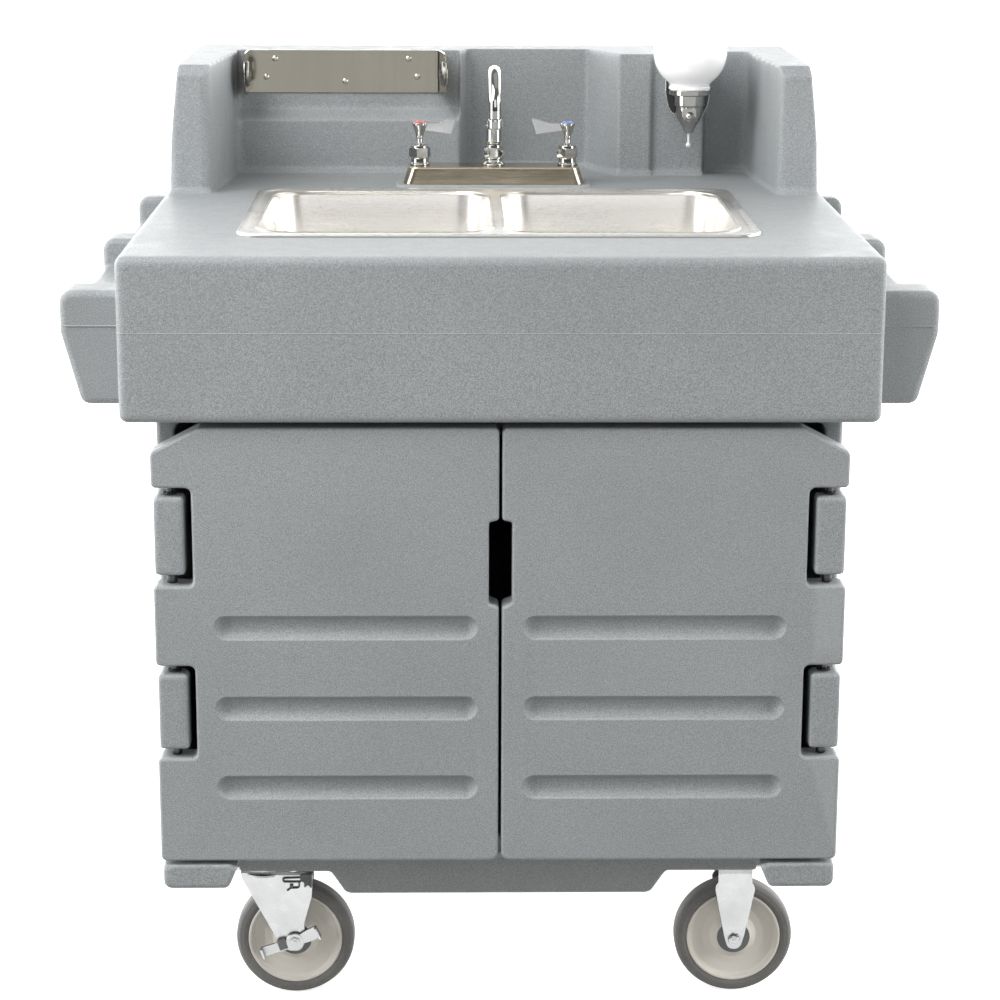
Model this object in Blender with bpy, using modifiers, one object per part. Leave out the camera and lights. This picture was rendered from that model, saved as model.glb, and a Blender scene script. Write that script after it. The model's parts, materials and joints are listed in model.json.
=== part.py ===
"""Portable handwash sink on casters: moulded cabinet, double bowl, faucet, tanks and plumbing.

Row frame: +X to the user's right, +Y from the user's side to the back, +Z up.
The origin lies on the floor, under the middle of the counter. Units are metres.
"""
import math

import bmesh
import bpy
from mathutils import Euler, Matrix, Vector

# ---------------------------------------------------------------- driving dimensions
GAP = 0.0003                    # between pieces that touch
OVERSHOOT = 0.02                # how far a cutter runs past the face it opens

COUNTER_HALF_WIDTH = 0.4445
COUNTER_DEPTH = 0.900
COUNTER_TOP = 0.9895
COUNTER_BOTTOM = 0.7945
COUNTER_EDGE = 0.008            # rounding of the slab's edges
DECK_THICKNESS = 0.025
SKIRT_FRONT = 0.060             # wall thicknesses of the slab around its underside pocket
SKIRT_BACK = 0.028
SKIRT_SIDE = 0.0321
FRONT_Y = -COUNTER_DEPTH / 2
BACK_Y = COUNTER_DEPTH / 2

WALL_TOP = 1.160
WING_OUTER_X = 0.434
WING_FRONT = 0.545              # depths count from the counter's front face
WING_SHOULDER_Z = 1.060
WING_TOP_X = 0.408
PANEL_LEFT = 0.775
PANEL_TOWEL = 0.805
PANEL_MIDDLE = 0.830
PANEL_SOAP = 0.752
PANEL_WELL = 0.792

HANDLE_OUTER_X = 0.5155
HANDLE_INNER_X = 0.475          # inner side of the grip rail
HANDLE_TOP = 0.942
HANDLE_RAIL_TOP = 0.905
HANDLE_BOTTOM = 0.807
HANDLE_POSTS = ((0.050, 0.115), (0.452, 0.518), (0.859, 0.896))

CABINET_HALF_WIDTH = 0.408
CABINET_FRONT = 0.062
CABINET_BACK = 0.870
CABINET_WALL = 0.020
CABINET_TOP = COUNTER_TOP - DECK_THICKNESS - GAP
FLOOR_TOP = 0.262
BASE_BOTTOM = 0.2365
BASE_LIP_TOP = 0.2425
BASE_FRONT = 0.012
DOORWAY_TOP = 0.785

DOOR_FRONT = 0.012
DOOR_THICKNESS = 0.038
DOOR_BOTTOM = 0.248
DOOR_TOP = 0.7895
DOOR_OUTER_X = 0.4107
DOOR_INNER_X = 0.0025
DOOR_GROOVES_Z = (0.5436, 0.4429, 0.3428)
DOOR_GROOVE_DEPTH = 0.009
HINGE_X = 0.390
HINGE_DEPTH = 0.032
HINGE_ROD_RADIUS = 0.0040
HINGE_BORE_RADIUS = 0.0043
HINGE_POCKETS = ((0.595, 0.7146), (0.380, 0.496))
HINGE_BLOCKS = ((0.6099, 0.7086), (0.3928, 0.4886))
POCKET_INNER_X = 0.3637

SINK_HALF_WIDTH = 0.3175
SINK_FRONT = 0.155
SINK_BACK = 0.5775
SINK_RIM_THICKNESS = 0.0037
SHEET = 0.002                   # wall of the pressed bowls
BOWL_X = (0.010, 0.288)
BOWL_Y = (0.182, 0.547)
BOWL_DEPTH = 0.165
DRAIN_BORE = 0.022
DRAIN_TAIL = 0.052              # from the bowl's underside to the tail's end
DRAIN_TAIL_Z = COUNTER_TOP + SINK_RIM_THICKNESS - BOWL_DEPTH - SHEET - DRAIN_TAIL - GAP
WASTE_PIPE_RADIUS = 0.0165
WASTE_RUN_Z = 0.715             # height of the pipe that joins both drains

TANK_EDGE = 0.022               # rounding of the tanks' edges
NECK_RADIUS = 0.032
NECK_RISE = 0.012
CAP_HEIGHT = 0.026
GRIP_RISE = 0.045
WASTE_TANK = ((0.050, 0.180, FLOOR_TOP + GAP), (0.350, 0.500, 0.580))
FRESH_TANK = ((-0.340, 0.160, FLOOR_TOP + GAP), (-0.060, 0.450, 0.5425))
WASTE_NECK = (0.149, 0.3645)
FRESH_NECK = (-0.200, 0.245)
WASTE_GRIP_X = 0.275
FRESH_GRIP_X = -0.150

HEATER = (0.235, 0.690)
HEATER_RADIUS = 0.118
HEATER_TOP = 0.620
HEATER_PORT_X = 0.045           # from the drum's axis
PUMP = (-0.270, 0.640)
PUMP_TOP = 0.372
PUMP_PORT_X = 0.022             # from the middle port
HOSE_RADIUS = 0.0065
HOSE_BEND = 0.028

FAUCET_DEPTH = 0.647
VALVE_X = 0.1016                # half of the usual 8 inch centres
PAD_HEIGHT = 0.003
FAUCET_TOP = 1.0165
SPOUT_RADIUS = 0.0085
SPOUT_TOP = 1.156
SPOUT_REACH = 0.098
SPOUT_TIP_Z = 1.088
VALVE_TAIL_Z = 0.930

GLOBE_X = 0.272
GLOBE_DEPTH = 0.690
GLOBE_Z = 1.167
GLOBE_RADIUS = 0.051
GLOBE_NECK_RADIUS = 0.0180

TOWEL_X = (-0.348, -0.077)
TOWEL_Z = (1.100, 1.160)
TOWEL_ARM = 0.075
TOWEL_SHEET = 0.0020
HUB_RADIUS = 0.018
HUB_HEIGHT = 0.010
SPRING_ARM_FLARE = math.radians(9.0)

WHEEL_RADIUS = 0.0762           # 6 inch wheels
WHEEL_WIDTH = 0.032
CASTER_HEIGHT = 0.190
CASTER_DEPTH = 0.190            # of the front pair; the rear pair mirrors it
KINGPIN_X = -0.300
SWIVEL_WHEEL_X = -0.260
RIGID_WHEEL_X = 0.306
AXLE_RADIUS = 0.006
CORE_RADIUS = 0.061
FORK_CLEARANCE = 0.0075         # from the wheel's side to the fork leg's outer face
FORK_SHEET = 0.003
PLATE_HALF = (0.052, 0.050)     # caster top plate
BRAKE_LEAN = math.radians(29.0)

PARTS_NAME = "portable_handwash_sink"


# ---------------------------------------------------------------- scene and materials
def clear_scene():
    for item in list(bpy.data.objects):
        bpy.data.objects.remove(item, do_unlink=True)
    for name in (PARTS_NAME, "cutters"):
        collection = bpy.data.collections.new(name)
        bpy.context.scene.collection.children.link(collection)
    return bpy.data.collections[PARTS_NAME], bpy.data.collections["cutters"]


PARTS, CUTTERS = clear_scene()


def linear(channel):
    return channel / 12.92 if channel <= 0.04045 else ((channel + 0.055) / 1.055) ** 2.4


def finish(name, rgb, roughness, metallic):
    """A Principled material; rgb counts 0 to 255 in display values."""
    material = bpy.data.materials.new(name)
    material.use_nodes = True
    shader = material.node_tree.nodes["Principled BSDF"]
    shader.inputs["Base Color"].default_value = [linear(c / 255) for c in rgb] + [1.0]
    shader.inputs["Roughness"].default_value = roughness
    shader.inputs["Metallic"].default_value = metallic
    return material


COLOURS = {
    "grey_shell": ((150, 154, 156), 0.62, 0.0),
    "sink_steel": ((205, 203, 196), 0.30, 1.0),
    "chrome": ((225, 226, 228), 0.08, 1.0),
    "bright_steel": ((176, 172, 160), 0.18, 1.0),
    "zinc": ((205, 208, 212), 0.28, 1.0),
    "tyre": ((104, 103, 103), 0.70, 0.0),
    "wheel_core": ((190, 186, 174), 0.45, 0.0),
    "white_plastic": ((244, 245, 246), 0.30, 0.0),
    "tank": ((226, 230, 232), 0.45, 0.0),
    "waste_tank": ((92, 96, 100), 0.50, 0.0),
    "black_plastic": ((38, 39, 41), 0.45, 0.0),
    "white_enamel": ((236, 237, 236), 0.28, 0.0),
    "hose_clear": ((200, 206, 208), 0.35, 0.0),
    "hose_red": ((176, 48, 44), 0.40, 0.0),
    "hose_blue": ((46, 92, 160), 0.40, 0.0),
    "index_red": ((206, 70, 76), 0.30, 0.0),
    "index_blue": ((78, 126, 190), 0.30, 0.0),
}


# ---------------------------------------------------------------- modelling helpers
def depth(distance):
    """Row Y of a point that lies this far behind the counter's front face."""
    return FRONT_Y + distance


def link(name, mesh, material=None):
    """A named part with its material, or a hidden cutter when no material is given."""
    item = bpy.data.objects.new(name, mesh)
    if material is None:
        CUTTERS.objects.link(item)
        item.hide_render = True
        item.display_type = 'WIRE'
    else:
        PARTS.objects.link(item)
        mesh.materials.append(finish(name + "_" + material, *COLOURS[material]))
    return item


def block(name, low, high, material=None, bevel=0.0, segments=2, edges='ALL'):
    """A box between two corners; edges 'ALL' or 'UPRIGHT' says which ones are rounded."""
    low, high = Vector(low), Vector(high)
    shape = bmesh.new()
    bmesh.ops.create_cube(shape, size=1.0)
    bmesh.ops.scale(shape, vec=high - low, verts=shape.verts)
    if bevel:
        chosen = [e for e in shape.edges if edges == 'ALL' or is_upright(e)]
        bmesh.ops.bevel(shape, geom=chosen, offset=bevel, segments=segments, profile=0.5,
                        affect='EDGES')
    mesh = bpy.data.meshes.new(name)
    shape.to_mesh(mesh)
    shape.free()
    item = link(name, mesh, material)
    item.location = (low + high) / 2
    return item


def is_upright(edge):
    run = edge.verts[1].co - edge.verts[0].co
    return abs(run.z) > 0.9 * run.length


def rod(name, centre, radius, length, material=None, axis='Z', sides=24):
    """A cylinder about `centre`, along X, Y or Z."""
    shape = bmesh.new()
    bmesh.ops.create_cone(shape, cap_ends=True, segments=sides, radius1=radius,
                          radius2=radius, depth=length)
    mesh = bpy.data.meshes.new(name)
    shape.to_mesh(mesh)
    shape.free()
    item = link(name, mesh, material)
    item.location = centre
    item.rotation_euler = {'X': (0, math.pi / 2, 0), 'Y': (math.pi / 2, 0, 0),
                           'Z': (0, 0, 0)}[axis]
    smooth(item)
    return item


def smooth(item, degrees=35.0):
    item.data.shade_smooth()
    item.data.set_sharp_from_angle(angle=math.radians(degrees))


def turned(name, profile, centre, material=None, axis='Z', steps=32, ring=False):
    """A turned solid; the profile's (radius, height) points run down its outer side."""
    mesh = bpy.data.meshes.new(name)
    edges = [(i, i + 1) for i in range(len(profile) - 1)]
    if ring:
        edges.append((len(profile) - 1, 0))
    mesh.from_pydata([(r, 0.0, z) for r, z in profile], edges, [])
    item = link(name, mesh, material)
    item.location = centre
    if axis == 'Y':
        item.rotation_euler = (math.pi / 2, 0, 0)
    screw = item.modifiers.new("Turn", 'SCREW')
    screw.steps = steps
    screw.render_steps = steps
    screw.use_merge_vertices = True
    screw.merge_threshold = 0.0001
    screw.use_smooth_shade = True
    return item


def arc(centre, radius, start, stop, steps):
    """Points on an arc, angles in degrees."""
    angles = [math.radians(start + (stop - start) * i / steps) for i in range(steps + 1)]
    return [(centre[0] + radius * math.cos(a), centre[1] + radius * math.sin(a))
            for a in angles]


def quarter_circle(steps):
    """Unit (radius, height) points from the top of a dome, on its axis, to its rim."""
    points = arc((0, 0), 1.0, 90, 0, steps)
    return [(0.0, 1.0)] + points[1:]


def solid_from_curve(name, curve, matrix, material):
    """The curve's evaluated shape as a welded mesh, so that it can be cut and joined."""
    guide = bpy.data.objects.new(name + "_curve", curve)
    bpy.context.scene.collection.objects.link(guide)
    guide.matrix_world = matrix
    graph = bpy.context.evaluated_depsgraph_get()
    mesh = bpy.data.meshes.new_from_object(guide.evaluated_get(graph))
    shape = bmesh.new()
    shape.from_mesh(mesh)
    bmesh.ops.remove_doubles(shape, verts=shape.verts, dist=0.00002)
    shape.to_mesh(mesh)
    shape.free()
    mesh.name = name
    mesh.materials.clear()
    item = link(name, mesh, material)
    item.matrix_world = guide.matrix_world.copy()
    bpy.data.objects.remove(guide, do_unlink=True)
    return item


def prism(name, outline, span, axis, material=None):
    """A flat outline pushed along an axis: (x, z) points for Y, (y, z) for X, (x, y) for Z."""
    curve = bpy.data.curves.new(name, 'CURVE')
    curve.dimensions = '2D'
    curve.fill_mode = 'BOTH'
    curve.extrude = (span[1] - span[0]) / 2
    spline = curve.splines.new('POLY')
    spline.points.add(len(outline) - 1)
    for point, (u, v) in zip(spline.points, outline):
        point.co = (u, v, 0.0, 1.0)
    spline.use_cyclic_u = True
    middle = (span[0] + span[1]) / 2
    turn = {'X': Euler((math.pi / 2, 0, math.pi / 2)), 'Y': Euler((math.pi / 2, 0, 0)),
            'Z': Euler((0, 0, 0))}[axis]
    shift = {'X': (middle, 0, 0), 'Y': (0, middle, 0), 'Z': (0, 0, middle)}[axis]
    matrix = Matrix.Translation(shift) @ turn.to_matrix().to_4x4()
    return solid_from_curve(name, curve, matrix, material)


def bent_path(points, radius, steps=4):
    """The route through the points with each corner replaced by a round bend."""
    points = [Vector(p) for p in points]
    path = [points[0]]
    for before, corner, after in zip(points, points[1:], points[2:]):
        into, out = (corner - before).normalized(), (after - corner).normalized()
        half_turn = into.angle(out) / 2
        if half_turn < math.radians(1.0):
            continue
        setback = radius * math.tan(half_turn)
        inward = (out - into).normalized()
        centre = corner + inward * (radius / math.cos(half_turn))
        start = corner - into * setback - centre
        spin = into.cross(out).normalized()
        for i in range(steps + 1):
            turn = Matrix.Rotation(2 * half_turn * i / steps, 3, spin)
            path.append(centre + turn @ start)
    path.append(points[-1])
    return path


def tube(name, path, radius, material=None, resolution=2):
    """A round bar along a path, with filled ends."""
    curve = bpy.data.curves.new(name, 'CURVE')
    curve.dimensions = '3D'
    curve.bevel_depth = radius
    curve.bevel_resolution = resolution
    curve.use_fill_caps = True
    spline = curve.splines.new('POLY')
    spline.points.add(len(path) - 1)
    for point, place in zip(spline.points, path):
        point.co = (*place, 1.0)
    item = solid_from_curve(name, curve, Matrix.Identity(4), material)
    smooth(item)
    return item


def combine(item, tools, operation):
    """Boolean each tool into the item: 'UNION' joins it, 'DIFFERENCE' cuts it away."""
    for tool in tools:
        step = item.modifiers.new(operation.title() + "_" + tool.name, 'BOOLEAN')
        step.operation = operation
        step.solver = 'EXACT'
        step.object = tool
    return item


def hang_on(item, pivot):
    """Puts the part's origin on its joint, leaving the shape where it is."""
    shift = Vector(pivot) - item.location
    item.data.transform(Matrix.Translation(item.matrix_basis.to_3x3().inverted() @ -shift))
    item.location = pivot
    return item


def mirrored(outline, side):
    """The outline as it is for side +1, or mirrored in X for side -1."""
    return [(side * u, v) for u, v in outline]


# ---------------------------------------------------------------- counter
def counter_outline():
    """Plan of the backsplash: wings at both ends and the stepped panels between them."""
    wing_inner_front, wing_inner_back = 0.381, 0.363
    plan = [(-WING_OUTER_X, WING_FRONT), (-wing_inner_front, WING_FRONT),
            (-wing_inner_back, PANEL_LEFT), (-0.047, PANEL_LEFT),
            (-0.035, PANEL_MIDDLE), (0.137, PANEL_MIDDLE),
            (0.177, PANEL_SOAP - 0.007), (0.223, PANEL_SOAP - 0.007),
            (0.226, PANEL_SOAP), (0.299, PANEL_SOAP), (0.302, PANEL_WELL),
            (wing_inner_back, PANEL_WELL), (wing_inner_front, WING_FRONT),
            (WING_OUTER_X, WING_FRONT), (WING_OUTER_X, COUNTER_DEPTH - 0.003),
            (-WING_OUTER_X, COUNTER_DEPTH - 0.003)]
    return [(x, depth(y)) for x, y in plan]


def towel_recess():
    """Cuts the upper left panel back, with a sloping ledge below it."""
    ledge = [(depth(PANEL_LEFT - 0.020), 1.060), (depth(PANEL_LEFT), 1.0645),
             (depth(PANEL_TOWEL), 1.0765), (depth(PANEL_TOWEL), WALL_TOP + OVERSHOOT),
             (depth(PANEL_LEFT - 0.020), WALL_TOP + OVERSHOOT)]
    return prism("cut_towel_recess", ledge, (-0.3615, -0.047), 'X')


def wing_lean(side):
    """Cuts the upper outer side of a wing so that it leans inwards."""
    lean = [(WING_OUTER_X, WING_SHOULDER_Z), (WING_TOP_X, WALL_TOP), (WING_TOP_X - 0.005,
            WALL_TOP + OVERSHOOT), (WING_OUTER_X + OVERSHOOT, WALL_TOP + OVERSHOOT),
            (WING_OUTER_X + OVERSHOOT, WING_SHOULDER_Z)]
    return prism("cut_wing_lean_%+d" % side, mirrored(lean, side),
                 (depth(WING_FRONT) - OVERSHOOT, BACK_Y + OVERSHOOT), 'Y')


def side_handle(side):
    """Grip rail on three posts, with finger gaps between it and the slab."""
    root_x = COUNTER_HALF_WIDTH - 0.012
    section = [(root_x, HANDLE_TOP), (HANDLE_OUTER_X - 0.010, HANDLE_TOP),
               (HANDLE_OUTER_X, HANDLE_TOP - 0.010), (HANDLE_OUTER_X, 0.893),
               (0.498, HANDLE_BOTTOM + 0.006), (0.489, HANDLE_BOTTOM),
               (root_x, HANDLE_BOTTOM)]
    span = (depth(HANDLE_POSTS[0][0]), depth(HANDLE_POSTS[-1][1]))
    handle = prism("handle_%+d" % side, mirrored(section, side), span, 'Y')
    bay = [(root_x - OVERSHOOT, HANDLE_BOTTOM - OVERSHOOT),
           (HANDLE_INNER_X, HANDLE_BOTTOM - OVERSHOOT), (HANDLE_INNER_X, HANDLE_RAIL_TOP),
           (HANDLE_OUTER_X + OVERSHOOT, HANDLE_RAIL_TOP),
           (HANDLE_OUTER_X + OVERSHOOT, HANDLE_TOP + OVERSHOOT),
           (root_x - OVERSHOOT, HANDLE_TOP + OVERSHOOT)]
    gaps = [(HANDLE_POSTS[i][1], HANDLE_POSTS[i + 1][0]) for i in range(2)]
    bays = [prism("cut_handle_bay_%+d_%d" % (side, i), mirrored(bay, side),
                  (depth(near), depth(far)), 'Y') for i, (near, far) in enumerate(gaps)]
    return combine(handle, bays, 'DIFFERENCE')


def counter_top():
    slab = block("counter_top", (-COUNTER_HALF_WIDTH, FRONT_Y, COUNTER_BOTTOM),
                 (COUNTER_HALF_WIDTH, BACK_Y, COUNTER_TOP), "grey_shell", COUNTER_EDGE)
    splash = prism("backsplash", counter_outline(), (COUNTER_TOP - 0.012, WALL_TOP), 'Z')
    combine(splash, [towel_recess(), wing_lean(-1), wing_lean(1)], 'DIFFERENCE')
    pad = block("faucet_pad", (-0.135, depth(FAUCET_DEPTH - 0.035), COUNTER_TOP - 0.010),
                (0.135, depth(FAUCET_DEPTH + 0.035), COUNTER_TOP + PAD_HEIGHT))
    combine(slab, [splash, pad, side_handle(-1), side_handle(1)], 'UNION')
    pocket_x = COUNTER_HALF_WIDTH - SKIRT_SIDE
    pocket = block("cut_underside", (-pocket_x, depth(SKIRT_FRONT), COUNTER_BOTTOM - OVERSHOOT),
                   (pocket_x, BACK_Y - SKIRT_BACK, COUNTER_TOP - DECK_THICKNESS))
    sink_hole = block("cut_sink_hole", (-0.300, depth(0.170), COUNTER_TOP - 0.050),
                      (0.300, depth(0.562), COUNTER_TOP + OVERSHOOT), None, 0.030, 3, 'UPRIGHT')
    holes = [rod("cut_faucet_hole_%d" % i, (x, depth(FAUCET_DEPTH), COUNTER_TOP), 0.016, 0.1)
             for i, x in enumerate((-VALVE_X, 0.0, VALVE_X))]
    return combine(slab, [pocket, sink_hole] + holes, 'DIFFERENCE')


# ---------------------------------------------------------------- cabinet and doors
def base_foot(side, near, far):
    """Corner foot under the base, its inner side slanting down."""
    outline = [(0.409, BASE_LIP_TOP), (0.409, 0.217), (0.404, 0.211), (0.330, 0.211),
               (0.318, BASE_LIP_TOP)]
    return prism("foot_%+d_%d" % (side, round(1000 * near)), mirrored(outline, side),
                 (depth(near), depth(far)), 'Y')


def hinge_block(side, low, high):
    """Knuckle on the cabinet's front corner that holds the door's hinge rod."""
    inner, outer = sorted((side * 0.373, side * 0.409))
    return block("knuckle_%+d_%d" % (side, round(1000 * low)), (inner, depth(0.014), low),
                 (outer, depth(CABINET_FRONT + 0.010), high), None, 0.005, 1)


def caster_boss(x, y):
    """Raised pad that a caster's top plate bolts to."""
    return block("boss_%d_%d" % (round(1000 * x), round(1000 * y)),
                 (x - 0.062, y - 0.060, CASTER_HEIGHT + GAP), (x + 0.062, y + 0.060, 0.240))


def cabinet_body():
    body = block("cabinet_body", (-CABINET_HALF_WIDTH, depth(CABINET_FRONT), BASE_BOTTOM),
                 (CABINET_HALF_WIDTH, depth(CABINET_BACK), CABINET_TOP), "grey_shell")
    base = block("base_plate", (-0.409, depth(BASE_FRONT), BASE_BOTTOM - 0.0002),
                 (0.409, depth(CABINET_BACK + 0.0005), BASE_LIP_TOP), None)
    hull = prism("hull", [(-0.190, 0.185), (0.190, 0.185), (0.226, 0.240), (-0.226, 0.240)],
                 (depth(0.060), depth(0.820)), 'Y')
    feet = [base_foot(side, near, far) for side in (-1, 1)
            for near, far in ((0.0125, 0.100), (0.780, 0.8700))]
    caster_y = depth(CASTER_DEPTH)
    bosses = [caster_boss(x, y) for x in (KINGPIN_X, RIGID_WHEEL_X)
              for y in (caster_y, -caster_y)]
    knuckles = [hinge_block(side, low, high) for side in (-1, 1) for low, high in HINGE_BLOCKS]
    combine(body, [base, hull] + feet + bosses + knuckles, 'UNION')
    inner_x = CABINET_HALF_WIDTH - CABINET_WALL
    inside = block("cut_inside", (-inner_x, depth(CABINET_FRONT + CABINET_WALL), FLOOR_TOP),
                   (inner_x, depth(CABINET_BACK - CABINET_WALL), CABINET_TOP + OVERSHOOT))
    doorway = block("cut_doorway", (-inner_x + 0.0001, depth(CABINET_FRONT) - OVERSHOOT,
                                    FLOOR_TOP + 0.0001),
                    (inner_x - 0.0001, depth(CABINET_FRONT + CABINET_WALL) + OVERSHOOT,
                     DOORWAY_TOP))
    bores = [rod("cut_knuckle_bore_%+d" % side, (side * HINGE_X, depth(HINGE_DEPTH), 0.55),
                 HINGE_BORE_RADIUS, 0.5, sides=16) for side in (-1, 1)]
    return combine(body, [inside, doorway] + bores, 'DIFFERENCE')


def door_outline():
    """Front view of the right door: hinge pockets outside, half a finger notch inside."""
    outline = [(DOOR_INNER_X, DOOR_BOTTOM), (DOOR_OUTER_X, DOOR_BOTTOM)]
    for low, high in reversed(HINGE_POCKETS):
        outline += [(DOOR_OUTER_X, low), (POCKET_INNER_X, low), (POCKET_INNER_X, high),
                    (DOOR_OUTER_X, high)]
    outline += [(0.4075, 0.760), (0.366, DOOR_TOP), (DOOR_INNER_X, DOOR_TOP),
                (DOOR_INNER_X, 0.686), (0.0140, 0.672), (0.0140, 0.582),
                (DOOR_INNER_X, 0.568)]
    return outline


def stadium(left, right, middle, half_height):
    """A slot outline with round ends."""
    return (arc((right - half_height, middle), half_height, -90, 90, 6)
            + arc((left + half_height, middle), half_height, 90, 270, 6))


def door(name, side):
    back = DOOR_FRONT + DOOR_THICKNESS
    leaf = prism(name, mirrored(door_outline(), side), (depth(DOOR_FRONT), depth(back)), 'Y',
                 "grey_shell")
    edge = leaf.modifiers.new("Edges", 'BEVEL')
    edge.width = 0.004
    edge.segments = 1
    edge.limit_method = 'ANGLE'
    grooves = [prism("cut_%s_groove_%d" % (name, i),
                     mirrored(stadium(0.028, 0.340, z, 0.0139), side),
                     (depth(DOOR_FRONT) - OVERSHOOT, depth(DOOR_FRONT + DOOR_GROOVE_DEPTH)), 'Y')
               for i, z in enumerate(DOOR_GROOVES_Z)]
    bore = rod("cut_%s_bore" % name, (side * HINGE_X, depth(HINGE_DEPTH), 0.5425),
               HINGE_BORE_RADIUS, 0.4260, sides=16)
    combine(leaf, grooves + [bore], 'DIFFERENCE')
    return hang_on(leaf, (side * HINGE_X, depth(HINGE_DEPTH), 0.5))


def hinge_rod(name, side):
    return rod(name, (side * HINGE_X, depth(HINGE_DEPTH), 0.5425), HINGE_ROD_RADIUS, 0.4250,
               "zinc", sides=16)


# ---------------------------------------------------------------- sink and drains
def bowl_block(name, side, grow, floor, top, rounding):
    inner, outer = BOWL_X[0] - grow, BOWL_X[1] + grow
    low_x, high_x = sorted((side * inner, side * outer))
    return block(name, (low_x, depth(BOWL_Y[0] - grow), floor),
                 (high_x, depth(BOWL_Y[1] + grow), top), None, rounding, 2)


def sink_basin():
    rim_low = COUNTER_TOP + GAP
    rim_top = rim_low + SINK_RIM_THICKNESS
    rim = block("sink_basin", (-SINK_HALF_WIDTH, depth(SINK_FRONT), rim_low),
                (SINK_HALF_WIDTH, depth(SINK_BACK), rim_top), "sink_steel", 0.028, 4, 'UPRIGHT')
    floor = rim_top - BOWL_DEPTH
    shells = [bowl_block("bowl_shell_%+d" % side, side, SHEET, floor - SHEET, rim_low + 0.002,
                         0.0) for side in (-1, 1)]
    combine(rim, shells, 'UNION')
    hollows = [bowl_block("cut_bowl_%+d" % side, side, 0.0, floor, rim_top + 0.060, 0.030)
               for side in (-1, 1)]
    drains = [rod("cut_drain_%+d" % side, (side * bowl_centre_x(), bowl_centre_y(), floor),
                  DRAIN_BORE, 0.020, sides=32) for side in (-1, 1)]
    return combine(rim, hollows + drains, 'DIFFERENCE')


def bowl_centre_x():
    return (BOWL_X[0] + BOWL_X[1]) / 2


def bowl_centre_y():
    return depth((BOWL_Y[0] + BOWL_Y[1]) / 2)


def bowl_floor():
    return COUNTER_TOP + GAP + SINK_RIM_THICKNESS - BOWL_DEPTH


def drain_strainer(name, side):
    """Flanged drain through the bowl's floor, with its nut and tail in one turned piece."""
    top = bowl_floor() + GAP
    under = bowl_floor() - SHEET - GAP
    profile = [(0.014, top + 0.0012), (0.038, top + 0.0012), (0.040, top), (0.0215, top),
               (0.0215, under), (0.031, under), (0.031, under - 0.016), (0.019, under - 0.018),
               (0.019, under - 0.052), (0.014, under - 0.052)]
    return turned(name, profile, (side * bowl_centre_x(), bowl_centre_y(), 0), "bright_steel",
                  steps=20, ring=True)


def waste_pipe():
    """Drain manifold: both bowl tails run into one drop to the waste tank's cap."""
    y, x = bowl_centre_y(), bowl_centre_x()
    start = DRAIN_TAIL_Z - GAP
    end = cap_top(WASTE_TANK) + GAP
    drop = rod("waste_pipe", (x, y, (start + end) / 2), WASTE_PIPE_RADIUS, start - end,
               "white_plastic", sides=20)
    branch = tube("waste_branch", bent_path([(-x, y, start), (-x, y, WASTE_RUN_Z),
                                             (x, y, WASTE_RUN_Z)], 0.030, 5),
                  WASTE_PIPE_RADIUS * 0.98)
    return combine(drop, [branch], 'UNION')


def cap_top(box):
    """Top of the cap on the neck of a tank that fills this box."""
    return box[1][2] + NECK_RISE + CAP_HEIGHT + 2 * GAP


def tank(name, box, neck, grip_x, material):
    """Lift-out water tank with a round neck, moulded shoulders and a hand hold on top."""
    low, high = box
    body = block(name, (low[0], depth(low[1]), low[2]), (high[0], depth(high[1]), high[2]),
                 material, TANK_EDGE, 2)
    x, y = neck[0], depth(neck[1])
    sunk = 0.008
    collar = rod(name + "_neck", (x, y, high[2] + (NECK_RISE - sunk) / 2), NECK_RADIUS,
                 NECK_RISE + sunk, sides=20)
    near, far = depth(low[1] + 0.050), depth(high[1] - 0.050)
    root, crown = high[2] - 0.006, high[2] + GRIP_RISE
    arch = bent_path([(grip_x, near, root), (grip_x, near, crown), (grip_x, far, crown),
                      (grip_x, far, root)], 0.020, 4)
    grip = tube(name + "_grip", arch, 0.009)
    return combine(body, [collar, grip], 'UNION')


def tank_cap(name, box, neck, material):
    base = box[1][2] + NECK_RISE + GAP
    profile = [(0.0, base + CAP_HEIGHT), (0.034, base + CAP_HEIGHT), (0.037, base + 0.022),
               (0.037, base), (0.0, base)]
    return turned(name, profile, (neck[0], depth(neck[1]), 0), material, steps=20)


# ---------------------------------------------------------------- water supply
def water_heater():
    """Small electric storage heater, a domed drum on a foot ring with two ports."""
    base = FLOOR_TOP + GAP
    x, y = HEATER[0], depth(HEATER[1])
    rise = 0.030
    dome = [(HEATER_RADIUS * r, HEATER_TOP - rise + rise * h)
            for r, h in quarter_circle(4)]
    profile = dome + [(HEATER_RADIUS, base + 0.020), (HEATER_RADIUS - 0.012, base + 0.014),
                      (HEATER_RADIUS - 0.012, base), (0.0, base)]
    drum = turned("water_heater", profile, (x, y, 0), "white_enamel", steps=24)
    ports = [rod("heater_port_%d" % i, (x + dx, y, HEATER_TOP + 0.002), 0.011, 0.040, sides=12)
             for i, dx in enumerate((-HEATER_PORT_X, HEATER_PORT_X))]
    return combine(drum, ports, 'UNION')


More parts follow.
